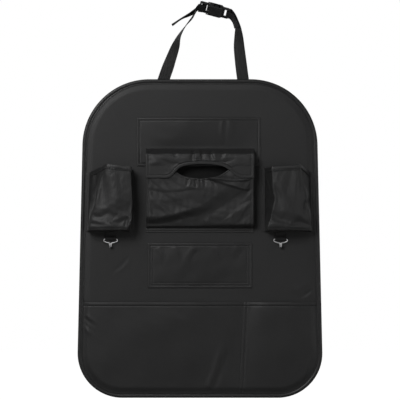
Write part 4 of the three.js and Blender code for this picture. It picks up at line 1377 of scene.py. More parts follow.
@dataclass
class BottomPocket:
    """The full width pocket along the panel's foot, parted by one slanting seam."""

    form: PanelForm
    bench: Bench
    name: str = "bottom_pocket"
    divider_top: float = 80.5
    divider_bottom: float = 73.0
    tuck: float = 6.6
    swell: float = 5.0
    sheet: float = 1.2
    hem: Seam = Seam(6.0, 0.6, 0.9, 0.35)
    divider: Seam = Seam(0.0, 1.0, 1.6, 0.0)
    second_row: float = -6.0
    flat_size: tuple[float, float] = (0.411, 0.156)
    flat_area: float = 0.0612
    creases: tuple[Crease, ...] = (
        Crease(((43, -172), (33, -200), (24, -228), (12, -258)), 1.1, 5.5, 0.8, (0.5, 0.1)),
        Crease(((52, -186), (44, -212), (38, -240)), -0.5, 6.0),
        Crease(((-198, -134), (-186, -143), (-176, -152)), -0.9, 3.4, 0.8, (0.05, 0.6)),
        Crease(((-201, -148), (-190, -158), (-184, -168)), 0.8, 3.6, 0.6, (0.05, 0.6)),
        Crease(((-60, -120), (-40, -135), (-10, -140)), 0.35, 7.0, 0.4),
        Crease(((100, -112), (118, -132), (128, -160)), 0.5, 7.0, 0.5, (0.1, 0.6)),
    )
    thread: Thread = field(default_factory=Thread)

    def build(self) -> None:
        """Builds the pocket and its stitches."""
        form, top = self.form, Box.of(self.name).z1
        floor = -form.top + self.tuck
        zs = places(floor, top, [floor, top], coarse=2.2, reach=8.0)
        reach = float(form.half_width(np.array(-140.0), self.tuck))
        middle = (self.divider_top + self.divider_bottom) / 2 / reach
        us = places(-1.0, 1.0, [-1.0, 1.0, middle], fine=0.0045, coarse=0.0115, reach=0.04)
        z = np.repeat(zs[:, None], len(us), axis=1)
        wide = form.half_width(z, self.tuck)
        line = mix(self.divider_bottom, self.divider_top, (z - floor) / (top - floor))
        u = np.repeat(us[None, :], len(zs), axis=0)
        left = mix(-wide, line, (u + 1) / (middle + 1))
        x = np.where(u <= middle, left, mix(line, wide, (u - middle) / (1 - middle)))
        off = x - line
        lower, upper = np.where(off < 0, -wide, line), np.where(off < 0, line, wide)
        aside = np.minimum(x - lower, upper - x)
        across, up = arched(aside, 4, (upper - lower) / 2), arched(z - floor, 6, top - floor)
        slack = total([*self.creases, Ripple(41, 70.0, 0.28), Ripple(3, 26.0, 0.06)], x, z)
        slack = slack * smooth(np.minimum(form.edge_distance(x, z) - 7, np.abs(off)) / 9.0)
        pucker = Ripple(37, 10.0, 0.12)(x, z) * hump(off, 0.0, 6.0)
        lift = form.relief(x, z) + self.sheet + self.swell * across * up + slack + pucker
        lift = lift + self.hem(top - z) + self.divider(np.abs(off)) - 0.45 * hump(off, self.second_row, 1.0)
        front = np.stack([x, -(form.front + lift), z], axis=-1)
        shape = closed_sheet(front, self.sheet, REARWARD)
        piece = self.bench.cut("bottom_pocket_sheet", shape, self.name)
        tree = shape.surface()
        hem = top - self.hem.inset
        edge = float(form.half_width(np.array(hem), form.binding_width + 1))
        rows = [np.array([(-edge, 0, hem), (edge, 0, hem)])]
        for shift in (0.0, self.second_row):
            ends = [(self.divider_bottom + shift, 0, floor + 2), (self.divider_top + shift, 0, top - 1)]
            rows.append(np.array(ends))
        stitches = [s for row in rows for s in self.thread.on(tree, row.astype(float), -FRONTWARD)]
        self.bench.sew("bottom_pocket_stitching", stitches)


# Folded pockets


def folded_grid(
    plan: Callable[[float], Array], shares: Array, base: float, radius: float | Sequence[float], columns: int
) -> Array:
    """Outer points of a sheet that follows a rounded line in plan at each share of its height.

    Args:
        plan: Gives the line's corners at a share: x, y and the height of the mouth above them.
        shares: The rows, from 0 at the base to 1 at the mouth.
        base: Height of the lowest row.
        radius: Where the rounding of the corners starts, one value or one for each inner corner.
        columns: How many points a row has.

    Returns:
        Rows, columns and coordinates.
    """
    lines = [round_corners(plan(share), radius) for share in shares]
    middle = lines[len(lines) // 2]
    index = np.arange(len(middle))
    measure = run_along(middle[:, :2]) + 0.25 * index
    at = np.interp(np.linspace(0, measure[-1], columns), measure, index)
    rows = []
    for share, line in zip(shares, lines):
        x, y, mouth = (np.interp(at, index, column) for column in line.T)
        rows.append(np.stack([x, y, mix(base, mouth, share)], axis=1))
    return np.array(rows)


def pushed_out(grid: Array, lift: Array, facing: float = 0.35) -> Array:
    """The grid with its front moved out by lift, and less where it faces aside.

    Args:
        grid: Rows, columns and coordinates.
        lift: How far each point moves along its normal.
        facing: How far towards the front a normal has to point for the full lift.

    Returns:
        The moved grid.
    """
    normals = grid_normals(grid)
    share = smooth(-normals[..., 1] / facing)
    return grid + normals * (lift * share)[..., None]


def settled(
    grid: Array, pinned: Array, seed: int, slack: float = 0.006, frames: int = 14, cap: float = 1.3
) -> Array:
    """Lets a sheet buckle and sag like cloth between its seams.

    Args:
        grid: The sheet's points in millimetres.
        pinned: 1 where the sheet is held and 0 where it is free.
        seed: Seed of the small unevenness that starts the buckles.
        slack: How much longer the cloth is than the grid.
        frames: How long it settles.
        cap: The furthest that a point may move, in millimetres.

    Returns:
        The settled points.
    """
    rows, cols = grid.shape[:2]
    draws = np.random.default_rng(seed)
    start = grid + grid_normals(grid) * (draws.normal(0, 0.08, (rows, cols)) * (1 - pinned))[..., None]
    mesh = bpy.data.meshes.new("settling")
    points = (start.reshape(-1, 3) * MM * SETTLING_SCALE).tolist()
    mesh.from_pydata(points, [], grid_quads(rows, cols).tolist())
    cloth_object = bpy.data.objects.new("settling", mesh)
    scene = bpy.context.scene
    scene.collection.objects.link(cloth_object)
    group = cloth_object.vertex_groups.new(name="sewn")
    for i, weight in enumerate(pinned.ravel().tolist()):
        if weight > 0:
            group.add([i], weight, "REPLACE")
    cloth = cloth_object.modifiers.new("cloth", "CLOTH")
    rules = cloth.settings
    rules.vertex_group_mass = "sewn"
    rules.quality = 6
    rules.mass = 0.4
    rules.tension_stiffness = rules.compression_stiffness = 30
    rules.shear_stiffness = 12
    rules.bending_stiffness = 12
    rules.tension_damping = rules.compression_damping = 8
    rules.shrink_min = -slack
    rules.effector_weights.gravity = 0.12
    cloth.collision_settings.use_collision = False
    cloth.collision_settings.use_self_collision = False
    cloth.point_cache.frame_start, cloth.point_cache.frame_end = 1, frames
    for frame in range(1, frames + 1):
        scene.frame_set(frame)
    evaluated = cloth_object.evaluated_get(bpy.context.evaluated_depsgraph_get())
    moved = np.zeros(rows * cols * 3)
    evaluated.data.vertices.foreach_get("co", moved)
    bpy.data.objects.remove(cloth_object)
    scene.frame_set(1)
    step = moved.reshape(rows, cols, 3) / (MM * SETTLING_SCALE) - grid
    far = np.linalg.norm(step, axis=-1, keepdims=True)
    return grid + step * np.minimum(1, cap / np.maximum(far, 1e-6)) * (1 - pinned[..., None])


def edge_curve(stations: Sequence[tuple[float, float]]) -> Callable[[Array], Array]:
    """A smooth height over x through drawn places."""
    points = np.array([(x, 0.0, z) for x, z in stations])
    line = centripetal(points, [10] * (len(points) - 1))
    return lambda x: np.interp(x, line[:, 0], line[:, 2])


@dataclass
class TissuePouch:
    """The pouch for tissues with its scooped lip, the flap over it, and the tape that holds the flap."""

    form: PanelForm
    bench: Bench
    depth: float = 21.0
    flat_depth: float = 1.5
    sewn_height: float = 6.0
    sag: tuple[tuple[float, float], ...] = (
        (-100, 18.5), (-55, 22.5), (-24, 30.5), (12, 38.0), (45, 52.0), (100, 74.0),
    )
    sag_soft: tuple[float, float] = (15.0, 40.0)
    foot: float = 8.0
    sheet: float = 1.2
    fold_radius: float = 3.2
    stitch_inset: float = 4.4
    sim_slack: float = 0.004
    sim_cap: float = 0.55
    flap_face: float = -29.2
    flap_bend: float = 137.0
    foot_rows: tuple[float, float] = (1.6, 6.2)
    pouch_size: tuple[float, float] = (0.241, 0.122)
    flap_size: tuple[float, float] = (0.183, 0.070)
    flap_area: float = 0.0117
    lip: tuple[tuple[float, float], ...] = (
        (-100, 128), (-64, 128), (-52, 122.5), (-40, 113.5), (-30, 107.5), (-16, 103.6), (1, 102.3),
        (18, 103.6), (32, 107.5), (43.5, 113.5), (56, 122.5), (68, 128), (100, 128),
    )
    arch: tuple[tuple[float, float], ...] = (
        (-100, 103), (-70, 103), (-56, 103.2), (-47, 107.5), (-40, 115.5), (-32, 121.8), (-16, 125.6),
        (4, 126.6), (24, 125.6), (41, 121.8), (50, 116), (57, 109.5), (65, 104.4), (73, 103), (100, 103),
    )
    pouch_creases: tuple[Crease, ...] = (
        Overhang(
            ((-93, 28.5), (-55, 33), (-24, 41.5), (12, 48.5), (58, 54)), 1.2, 9.5, 0.0, (0.05, 0.5), 30.0
        ),
        Overhang(((10, 101), (30, 95.5), (48, 89.5), (86, 79)), 3.9, 4.2, 0.0, (0.1, 0.1), 11.0),
        Overhang(((10, 102), (34, 99), (56, 97), (88, 98)), 3.5, 3.4, 0.0, (0.1, 0.1), 9.0),
        Overhang(((-90, 84), (-70, 79.5), (-44, 79), (-14, 83), (10, 85)), 1.4, 6.0, 0.0, (0.05, 0.4), 12.0),
        Overhang(((-88, 62), (-58, 60), (-28, 66), (2, 70)), 0.7, 8.0, 0.0, (0.1, 0.5), 14.0),
        Crease(((-20, 102), (-21, 94), (-24, 85)), -1.3, 2.3, 0.8, (0.1, 0.6)),
        Crease(((-7, 102), (-6.5, 94), (-6, 83)), -1.5, 2.2, 0.9, (0.1, 0.6)),
        Crease(((7, 102), (8, 94), (9.5, 85)), -1.4, 2.2, -0.8, (0.1, 0.6)),
        Crease(((21, 101), (24, 95), (29, 88)), -1.1, 2.3, 0.7, (0.1, 0.6)),
        Crease(((92, 86), (82, 80), (74, 70)), -0.8, 3.4, 0.8, (0.05, 0.6)),
        Crease(((92, 66), (80, 64), (66, 56)), -0.4, 4.4, 0.7, (0.05, 0.6)),
        Crease(((-40, 22), (-30, 34), (-34, 44)), 0.7, 5.0, 0.6),
        Crease(((8, 20), (14, 34), (10, 48)), 0.6, 6.0, 0.5),
        Crease(((50, 20), (54, 34), (46, 48)), 0.7, 5.5, 0.6),
    )
    flap_creases: tuple[Crease, ...] = (
        Crease(((-12, 150), (-12, 140), (-14, 128)), -1.7, 3.2, 0.9, (0.15, 0.5)),
        Crease(((3, 150), (3.5, 141), (4, 130)), -1.8, 3.0, -0.8, (0.15, 0.5)),
        Crease(((18, 150), (19, 140), (22, 129)), -1.3, 3.4, 0.8, (0.15, 0.5)),
        Crease(((40, 150), (37, 141), (34, 131)), -0.8, 3.6, 0.6, (0.15, 0.6)),
        Crease(((-44, 150), (-42, 142), (-38, 132)), -0.6, 4.0, 0.6, (0.15, 0.6)),
        Crease(((-88, 132), (-70, 130), (-50, 124)), 0.5, 6.0, 0.5),
        Crease(((62, 128), (74, 122), (88, 124)), 0.5, 6.0, 0.5),
    )
    thread: Thread = field(default_factory=Thread)

    def build(self) -> None:
        """Builds the pouch, the flap and the tapes."""
        self._pouch()
        self._flap()
        self._tapes()

    def depth_at(self, x: Array, rise: Array) -> Array:
        """How deep the pouch stands at a rise above its edge: flat below a sagging fold, full above it.

        Args:
            x: Places across.
            rise: Their heights above the lower edge.

        Returns:
            The depth at each place.
        """
        full = self.form.front + self.depth - (self.form.front + self.form.bulge + 0.15)
        above_seam = rise - self.sewn_height
        flat = self.flat_depth + 7.5 * smooth(above_seam / 5.0) + 2.5 * np.clip(above_seam / 30.0, 0, 1)
        flat = flat + 6.0 * smooth((x + 25) / 100) * smooth(above_seam / 9.0)
        fold = edge_curve(self.sag)(x) - self.sag_soft[0] / 2
        softness = mix(*self.sag_soft, smooth((x + 30) / 110))
        over = smooth((rise - fold) / softness)
        return mix(flat, full, over * smooth(above_seam / 3.0))

    def _pouch(self) -> None:
        """Builds the pouch as one folded sheet, its lower edge sewn flat."""
        box = Box.of("tissue_pocket")
        back = -(self.form.front + self.form.bulge + 0.15)
        lip = edge_curve(self.lip)
        half, full = box.x1, self.form.front + self.depth + back

        def plan(_share: float) -> Array:
            """Corners of the pouch in plan, the same at every height.

            Args:
                _share: The share of the height, which the plan doesn't follow.

            Returns:
                The corners, from the left foot to the right one.
            """
            front = back - full
            line = [(-half + self.foot, back), (-half, back), (-half, front), (0, front), (half, front)]
            line += [(half, back), (half - self.foot, back)]
            return np.array([(x, y, box.z1) for x, y in line])

        sewn = self.sewn_height / (box.z1 - box.z0)
        shares = places(0, 1, [0, sewn, 1], fine=0.0075, coarse=0.014, reach=0.05)
        grid = folded_grid(plan, shares, box.z0, self.fold_radius, 190)
        on_front = smooth((back - self.flat_depth * 0.5 - grid[..., 1]) / 2.0)
        top = mix(box.z1, np.minimum(lip(grid[..., 0]), box.z1), on_front)
        grid[..., 2] = mix(box.z0, top, shares[:, None])
        x, z = grid[..., 0], grid[..., 2]
        grid[..., 1] = back + (grid[..., 1] - back) * self.depth_at(x, z - box.z0) / full
        aside, below, above = half - np.abs(x), z - box.z0, top - z
        free = smooth((aside - 1) / 7.0) * smooth((below - 7) / 8.0)
        under_tape = 1 - smooth((z - 100) / 6.0) * smooth((np.abs(x) - 50) / 10.0)
        slack = total([*self.pouch_creases, Ripple(71, 38.0, 0.5), Ripple(73, 14.0, 0.12)], x, z)
        seams = Seam(self.stitch_inset, 0.6, 0.8, 0.35)
        rows = sum(-0.5 * hump(below, at, 0.8) for at in self.foot_rows)
        lift = slack * free * under_tape + seams(aside) + rows + Seam(3.4, 0.4, 0.8, 0.4)(above)
        pucker = Ripple(79, 8.0, 0.14)(x, z) * hump(aside, self.stitch_inset, 5.0)
        grid = pushed_out(grid, lift + pucker)
        loose = smooth((aside - 3) / 5.0) * smooth((below - 7) / 6.0) * smooth((z - 10) / 1.0) * on_front
        grid = settled(grid, np.clip(1 - loose, 0, 1), 5, self.sim_slack, cap=self.sim_cap)
        shape = closed_sheet(grid, self.sheet)
        piece = self.bench.cut("tissue_pouch_sheet", shape, "tissue_pocket")
        tree = shape.surface()
        inset, low = half - self.stitch_inset, box.z0
        paths = [[(s * inset, 127), (s * inset, low + 8)] for s in (-1, 1)]
        paths += [[(-half + 2, low + at), (half - 2, low + at)] for at in self.foot_rows]
        paths.append([(x, lip(x) - 3.4) for x in np.linspace(-58, 62, 60)])
        self._stitch("tissue_pouch_stitching", tree, paths)

    def _flap(self) -> None:
        """Builds the flap from its lower edge up over the pouch to where it is sewn."""
        box = Box.of("tissue_flap")
        arch = edge_curve(self.arch)
        xs = places(box.x0, box.x1, [box.x0, box.x1, -47, 57], fine=0.8, coarse=1.5)
        bend, face = self.flap_bend, self.flap_face
        shelf = ((face, bend), (face + 0.9, 144.6), (-19, 148.2), (-9.4, 151.4), (-8.9, box.z1))
        corners = np.array([(y, z, 0) for y, z in shelf], float)
        over = even_line(round_corners(corners, (5.0, 5.0, 1.0)), 1.2)
        hanging = places(0.0, 1.0, [0.0], fine=0.025, coarse=0.045, reach=0.25)
        low = arch(xs)
        z = mix(low[None, :], bend, hanging[:, None])
        y = np.full(z.shape, face)
        z = np.concatenate([z, np.repeat(over[1:, 1:2], len(xs), axis=1)])
        y = np.concatenate([y, np.repeat(over[1:, 0:1], len(xs), axis=1)])
        grid = np.stack([np.repeat(xs[None, :], len(z), axis=0), y, z], axis=-1)
        slope = np.gradient(low, xs)
        edge = np.minimum((z - low) / np.sqrt(1 + slope**2), box.x1 - np.abs(grid[..., 0]))
        fade = smooth((edge - 1) / 6.0)
        slack = total([*self.flap_creases, Ripple(83, 34.0, 0.35), Ripple(89, 12.0, 0.1)], grid[..., 0], z)
        taped = 1 - 0.8 * smooth((np.abs(grid[..., 0]) - 55) / 8.0) * smooth((126 - z) / 4.0)
        lift = slack * fade * taped + Seam(self.stitch_inset, 0.35, 0.8, 0.12)(edge)
        sewn = smooth((box.z1 - 2 - z) / 3.0) + smooth((-12 - grid[..., 1]) / 4.0)
        grid = grid + grid_normals(grid) * (lift * np.clip(sewn, 0, 1))[..., None]
        pinned = 1 - smooth((edge - 2) / 5.0) * smooth((-12 - grid[..., 1]) / 5.0) * np.clip(taped, 0, 1)
        grid = settled(grid, np.clip(pinned, 0, 1), 7, self.sim_slack, cap=self.sim_cap)
        thin = self.sheet * 0.7 * smooth((z - box.z1 + 3) / 2.5)
        grid[..., 1] += thin * 1.5
        shape = closed_sheet(grid, self.sheet - thin)
        piece = self.bench.cut("tissue_flap_sheet", shape, "tissue_flap")
        tree = shape.surface()
        reach = box.x1 - self.stitch_inset
        x = np.linspace(-reach, reach, 160)
        tilt = np.gradient(arch(x), x)
        length = np.sqrt(1 + tilt**2)
        row_x, row_z = x - self.stitch_inset * tilt / length, arch(x) + self.stitch_inset / length
        lower = np.stack([row_x, row_z], axis=1)
        paths = [lower.tolist()] + [[(s * reach, box.z0 + 5), (s * reach, 141)] for s in (-1, 1)]
        self._stitch("tissue_flap_stitching", tree, paths)

    def _tapes(self) -> None:
        """Builds hook and loop tape in pairs, with a low pile."""
        for side in Side:
            for kind, finish in (("pouch_loop_tape", 0.16), ("flap_hook_tape", 0.1)):
                node = f"{kind}_{side.label}"
                box = Box.of(node)
                ranges = ((box.x0, box.x1), (box.z0, box.z1))
                x, z = np.meshgrid(*(np.arange(low, high + 0.1, 0.5) for low, high in ranges))
                pile = finish * (Ripple(97, 1.6, 0.5)(x, z) + Ripple(101, 3.0, 0.4)(x, z))
                front = np.stack([x, box.y0 - 0.05 - pile, z], axis=-1)
                shape = closed_sheet(front, box.y1 - box.y0, REARWARD)
                self.bench.place(f"{node}_pile", shape, "tape", Slot.TAPE, replaces=[node])

    def _stitch(self, name: str, tree: BVHTree, paths: Sequence[Sequence[tuple[float, float]]]) -> None:
        """Sews rows along paths in x and z on the front of a surface."""
        rows = [np.array([(x, 0.0, z) for x, z in path]) for path in paths]
        stitches = [s for row in rows for s in self.thread.on(tree, row, -FRONTWARD)]
        self.bench.sew(name, stitches)


@dataclass
class SidePocket:
    """A deep pocket at the panel's side: folded wall, floor and bound mouth."""

    side: Side
    form: PanelForm
    bench: Bench
    outer: tuple[float, float]
    inner: tuple[tuple[float, float], ...]
    ridge: tuple[float, float]
    outer_depth: tuple[float, float]
    creases: tuple[Crease, ...]
    depth: tuple[float, float] = (40.5, 39.5)
    crown: float = 0.8
    mouths: tuple[float, float, float, float] = (111.0, 126.0, 121.0, 119.0)
    foot: float = 5.0
    inner_foot: float = 3.0
    sheet: float = 1.2
    hem_height: float = 6.6
    hem_row: float = 0.22
    wall_size: tuple[float, float] = (0.160, 0.112)
    floor_size: tuple[float, float] = (0.072, 0.034)
    floor_rows: int = 14
    folds: tuple[float, ...] = (2.5, 5.0, 16.0, 4.5, 2.5)
    toe: float = 4.5
    columns: int = 160
    thread: Thread = field(default_factory=Thread)

    @property
    def base(self) -> float:
        """Height of the pocket's floor."""
        return Box.of(f"{self.side.label}_pocket_base").z0

    def plan(self, share: float) -> Array:
        """Corners of the wall in plan at a share of its height: x, y and the mouth's height.

        Args:
            share: The share of the height, from the floor up.

        Returns:
            The corners, from the left.
        """
        form, sign = self.form, self.side.value
        outer_foot_mouth, outer_mouth, inner_mouth, inner_foot_mouth = self.mouths
        z = mix(self.base, (outer_mouth + inner_mouth) / 2, share)
        heights, reaches = zip(*self.inner)
        inner = float(np.interp(z, heights, reaches))
        outer = mix(self.outer[0], self.outer[1], share**1.2)
        outer_y = -(form.front + mix(*self.outer_depth, share))
        front = -(form.front + mix(*self.depth, share))
        rise = np.array(mix(self.base, outer_foot_mouth, share))
        foot = float(form.half_width(rise, form.binding_width + 0.1))
        base_inner = self.inner[0][1] - self.inner_foot

        def seat(x: float) -> float:
            """Y at which the wall's foot lies on the cover."""
            return -(form.front + float(form.relief(np.array(x), np.array(z))) + self.sheet + 0.05)

        line = [
            (foot, seat(foot), outer_foot_mouth),
            (foot - self.foot, seat(foot - self.foot), outer_foot_mouth),
            (outer, outer_y, outer_mouth),
            (mix(*self.ridge, share), front - self.crown, (outer_mouth + inner_mouth) / 2),
            (inner, front, inner_mouth),
            (base_inner, seat(base_inner), inner_foot_mouth),
            (base_inner - self.foot, seat(base_inner), inner_foot_mouth),
        ]
        placed_ = np.array([(sign * x, y, mouth) for x, y, mouth in line])
        return placed_ if sign < 0 else placed_[::-1]

    def build(self) -> None:
        """Builds the wall, the floor, the mouth's tape and the stitches."""
        label = self.side.label
        shares = places(0, 1, [0, 1], fine=0.009, coarse=0.017, reach=0.07)
        folds = self.folds if self.side is Side.LEFT else self.folds[::-1]
        grid = folded_grid(self.plan, shares, self.base, folds, self.columns)
        up = shares[:, None]
        standing = smooth((-(self.form.front + 4) - grid[..., 1]) / 8.0)
        out = np.clip((-(self.form.front + 1.5) - grid[..., 1]) / self.depth[0], 0, 1)
        grid[..., 2] += self.toe * out * (1 - up) ** 3
        x, z = grid[..., 0], grid[..., 2]
        free = smooth(up / 0.1) * smooth((1 - up) / 0.08) * standing
        waves = [Ripple(107 + self.side.value, 42.0, 0.7), Ripple(109 + self.side.value, 15.0, 0.14)]
        lift = total([*self.creases, *waves], x, z) * free
        lift = lift - 1.1 * standing * smooth((0.05 - up) / 0.05) + 0.35 * standing * hump(up, 0.06, 0.03)
        grid = pushed_out(grid, lift, 0.15)
        loose = smooth((up - 0.03) / 0.08) * smooth((0.96 - up) / 0.06) * standing
        grid = settled(grid, np.clip(1 - loose, 0, 1), 11 + self.side.value)
        wall = closed_sheet(grid, self.sheet)
        piece = self.bench.cut(f"{label}_pocket_sheet", wall, f"{label}_pocket_wall")
        self._floor(grid)
        self._hem(grid, shares)

    def _floor(self, wall: Array) -> None:
        """Builds the pocket's floor inside the wall's lowest row.

        Args:
            wall: The wall's grid of outer points.
        """
        label, row = self.side.label, wall[0]
        kept = row[row[:, 1] < -(self.form.front + 1.6)]
        inside = kept + REARWARD
        inside[:, 0] = mix(kept[:, 0].mean(), kept[:, 0], 0.985)
        depths = np.linspace(0, 1, self.floor_rows)[:, None]
        back = -(self.form.front + self.form.bulge + 0.2)
        x = np.repeat(inside[None, :, 0], self.floor_rows, axis=0)
        y = mix(inside[None, :, 1], back, depths)
        sag = Ripple(113, 18.0, 0.25)(x, y) * np.sin(math.pi * depths)
        z = mix(inside[None, :, 2] + 0.4, self.base + 0.5, depths) - sag
        under = np.stack([x, y, z], axis=-1)[::-1]
        shape = closed_sheet(under, self.sheet, UPWARD)
        piece = self.bench.cut(f"{label}_pocket_floor", shape, f"{label}_pocket_base")

    def _hem(self, wall: Array, shares: Array) -> None:
        """Builds the tape folded over the mouth, slightly gathered, and its stitches.

        Args:
            wall: The wall's grid of outer points.
            shares: Its rows' shares of the height.
        """
        label = self.side.label
        start = 1 - self.hem_height / (self.mouths[2] - self.base)
        kept = shares >= start - 0.005
        standing = wall[-1][:, 1] < -(self.form.front + 3.2)
        band = wall[kept][:, standing]
        normals = grid_normals(wall)[kept][:, standing]
        rows, cols = band.shape[:2]
        along = np.linspace(0, 1, rows)[:, None]
        run = np.arange(cols)[None, :]
        gather = 0.12 * np.sin(run * 1.9) + 0.1 * np.sin(run * 0.8 + 1)
        puff = 0.35 * np.sin(math.pi * along) - 0.35 * hump(along, self.hem_row, 0.1)
        outer = band + normals * (1.15 + puff + gather * hump(along, self.hem_row, 0.3))[..., None]
        outer[-1, :, 2] += 0.5
        cap = band[-1:] + np.array([0, 0, 1.1])
        inner = band[::-1] - normals[::-1] * (self.sheet + 0.9)
        strip = np.concatenate([outer, cap - normals[-1:] * self.sheet / 2, inner[: rows // 2]])
        shape = closed_sheet(strip, 0.75)
        node = f"{label}_pocket_hem"
        self.bench.place(f"{label}_mouth_tape", shape, "binding", Slot.BINDING, replaces=[node])
        at = max(int(rows * self.hem_row), 1)
        stitches = self.thread.row(outer[at], grid_normals(outer)[at])
        edge = self.sheet * 0.1
        for column in (3, -4):
            foot = wall[2:-4, column]
            stitches += self.thread.row(foot + FRONTWARD * edge, np.tile(FRONTWARD, (len(foot), 1)))
        self.bench.sew(f"{label}_pocket_stitching", stitches)


# Webbing, hooks and buckle


@dataclass(frozen=True)
class Webbing:
    """Flat woven strap with soft edges and ribs along it."""

    width: float = 20.0
    thickness: float = 1.3
    ribs: float = 4.0
    rib_height: float = 0.14
    step: float = 1.3

    def steps(self, stations: Array) -> list[int]:
        """Into how many steps the strap's curve is cut between each two stations."""
        spans = np.linalg.norm(np.diff(stations[:, :3], axis=0), axis=1)
        return [max(4, int(span / self.step)) for span in spans]

    def frames(self, stations: Array) -> tuple[Array, Array, Array]:
        """Places along the strap, the direction across it and the direction through it.

        Args:
            stations: Rows of a place and a direction across the strap.

        Returns:
            Centres, across and through, one row for each ring.
        """
        line = centripetal(stations, self.steps(stations))
        at, across = line[:, :3], line[:, 3:]
        along = unit(np.gradient(at, axis=0))
        across = unit(across - along * (across * along).sum(-1, keepdims=True))
        return at, across, np.cross(along, across)

    def shape(self, at: Array, across: Array, through: Array) -> Shape:
        """The strap's closed mesh with its weave coordinates.

        Args:
            at: Places along the strap.
            across: Its sideways directions there.
            through: Its face's directions there.

        Returns:
            The closed shape.
        """
        a = np.linspace(-1, 1, 41)
        soft = np.sqrt(np.maximum(1 - np.abs(a) ** 14, 0)) * 0.5 * self.thickness
        b = soft * 0.93 + self.rib_height * np.cos(math.pi * a * self.ribs) * (np.abs(a) < 0.92)
        b = np.maximum(b, 0.12)
        section = np.concatenate([np.stack([a, b], axis=1), np.stack([a[::-1], -b[::-1]], axis=1)])
        wide = section[None, :, 0:1] * across[:, None] * self.width / 2
        shape = swept(at[:, None] + (wide + section[None, :, 1:2] * through[:, None]))
        lie = np.zeros((len(at), len(section), 3))
        lie[..., 0] = section[None, :, 0] * self.width / 2
        lie[..., 1] = run_along(at)[:, None]
        shape.weave = lie.reshape(-1, 3)
        return shape


@dataclass
class WireHook:
    """A bent wire hook that swings in a folded tab of webbing under a side pocket."""

    side: Side
    form: PanelForm
    bench: Bench
    pivot: Array
    half_width: float = 11.4
    shoulder: float = 3.4
    neck: float = 7.0
    stem: float = 9.5
    bend_radius: float = 3.8
    tip_rise: float = 2.4
    spread: float = 1.15
    wire: float = 0.9
    tab: Webbing = Webbing(19.0, 1.2, 5.0, 0.07, 0.6)
    thread: Thread = Thread(2.2, 1.8, 0.3, 0.25)

    def build(self) -> None:
        """Builds the wire on its own body and the tab on the organizer."""
        self._wire(self.pivot)
        self._tab(self.pivot)

    def _wire(self, pivot: Array) -> None:
        """Builds the closed loop of wire: a bar, two arms and a double stem bent up to the front.

        Args:
            pivot: The hinge's place: x, y and z in millimetres.
        """

        def bend(degrees: float) -> tuple[float, float, float]:
            """A place on the stem's bend.

            Args:
                degrees: How far round the bend.

            Returns:
                Its x, y and z from the hinge.
            """
            turn = math.radians(degrees)
            return (
                self.spread,
                -self.bend_radius * (1 - math.cos(turn)),
                -self.stem - self.bend_radius * math.sin(turn),
            )

        half = [
            (self.half_width - 1.2, 0, -0.2),
            (self.half_width, 0, -1.6),
            (self.half_width - 0.2, 0, -self.shoulder),
            (mix(self.half_width, self.spread, 0.5), 0, -mix(self.shoulder, self.neck, 0.6)),
            (self.spread + 0.8, 0, -self.neck + 0.4),
            (self.spread, 0, -self.neck - 1),
            *(bend(degrees) for degrees in (0, 45, 90, 135, 180)),
            (self.spread, -2 * self.bend_radius - 0.3, -self.stem + self.tip_rise - 1),
        ]
        tip = (0, -2 * self.bend_radius - 0.5, -self.stem + self.tip_rise)
        route = [(0, 0, 0), *half, tip, *((-x, y, z) for x, y, z in reversed(half))]
        stations = np.array(route, float)
        around = np.concatenate([stations[-2:], stations, stations[:2]])
        line = centripetal(around, [8] * (len(around) - 1))[16 : 16 + 8 * len(stations)]
        closed = even_line(np.concatenate([line, line[:1]]), 0.55)[:-1]
        shape = tube(closed + pivot, self.wire, 14, looped=True)
        label = self.side.label
        node, body = f"{label}_hook", f"{label}_wire_hook"
        self.bench.place(f"{node}_wire", shape, "steel", Slot.STEEL, body, [node])

    def _tab(self, pivot: Array) -> None:
        """Builds the tab as one length of webbing folded round the hook's bar, with two rows of stitches.

        Args:
            pivot: The hinge's place: x, y and z in millimetres.
        """
        node = f"{self.side.label}_hook_tab"
        box = Box.of(node)
        t = self.tab.thickness
        back = -(self.form.front + t / 2)
        radius = pivot[1] - box.y0 - t / 2
        turn = [math.radians(angle) for angle in (0, -35, -70, -105, -140, -180)]
        eye = [(pivot[1] + radius * math.cos(a), pivot[2] + radius * math.sin(a)) for a in turn]
        line = [(back, box.z1), (back, 5.0), *eye, (pivot[1] - radius + 0.7, 1.6)]
        line += [(back - 1.15 * t, 4.6), (back - 1.02 * t, box.z1)]
        stations = np.array([(pivot[0], y, z, 1.0, 0.0, 0.0) for y, z in line])
        shape = self.tab.shape(*self.tab.frames(stations))
        self.bench.place(f"{node}_webbing", shape, "webbing", Slot.WEBBING, replaces=[node])
        tree = shape.surface()
        stitches = []
        for z in (6.2, 8.4):
            ends = np.array([(pivot[0] - 8.5, 0.0, z), (pivot[0] + 8.5, 0.0, z)])
            stitches += self.thread.on(tree, ends, -FRONTWARD)
        self.bench.sew(f"{node}_stitching", stitches, Slot.WEBBING)


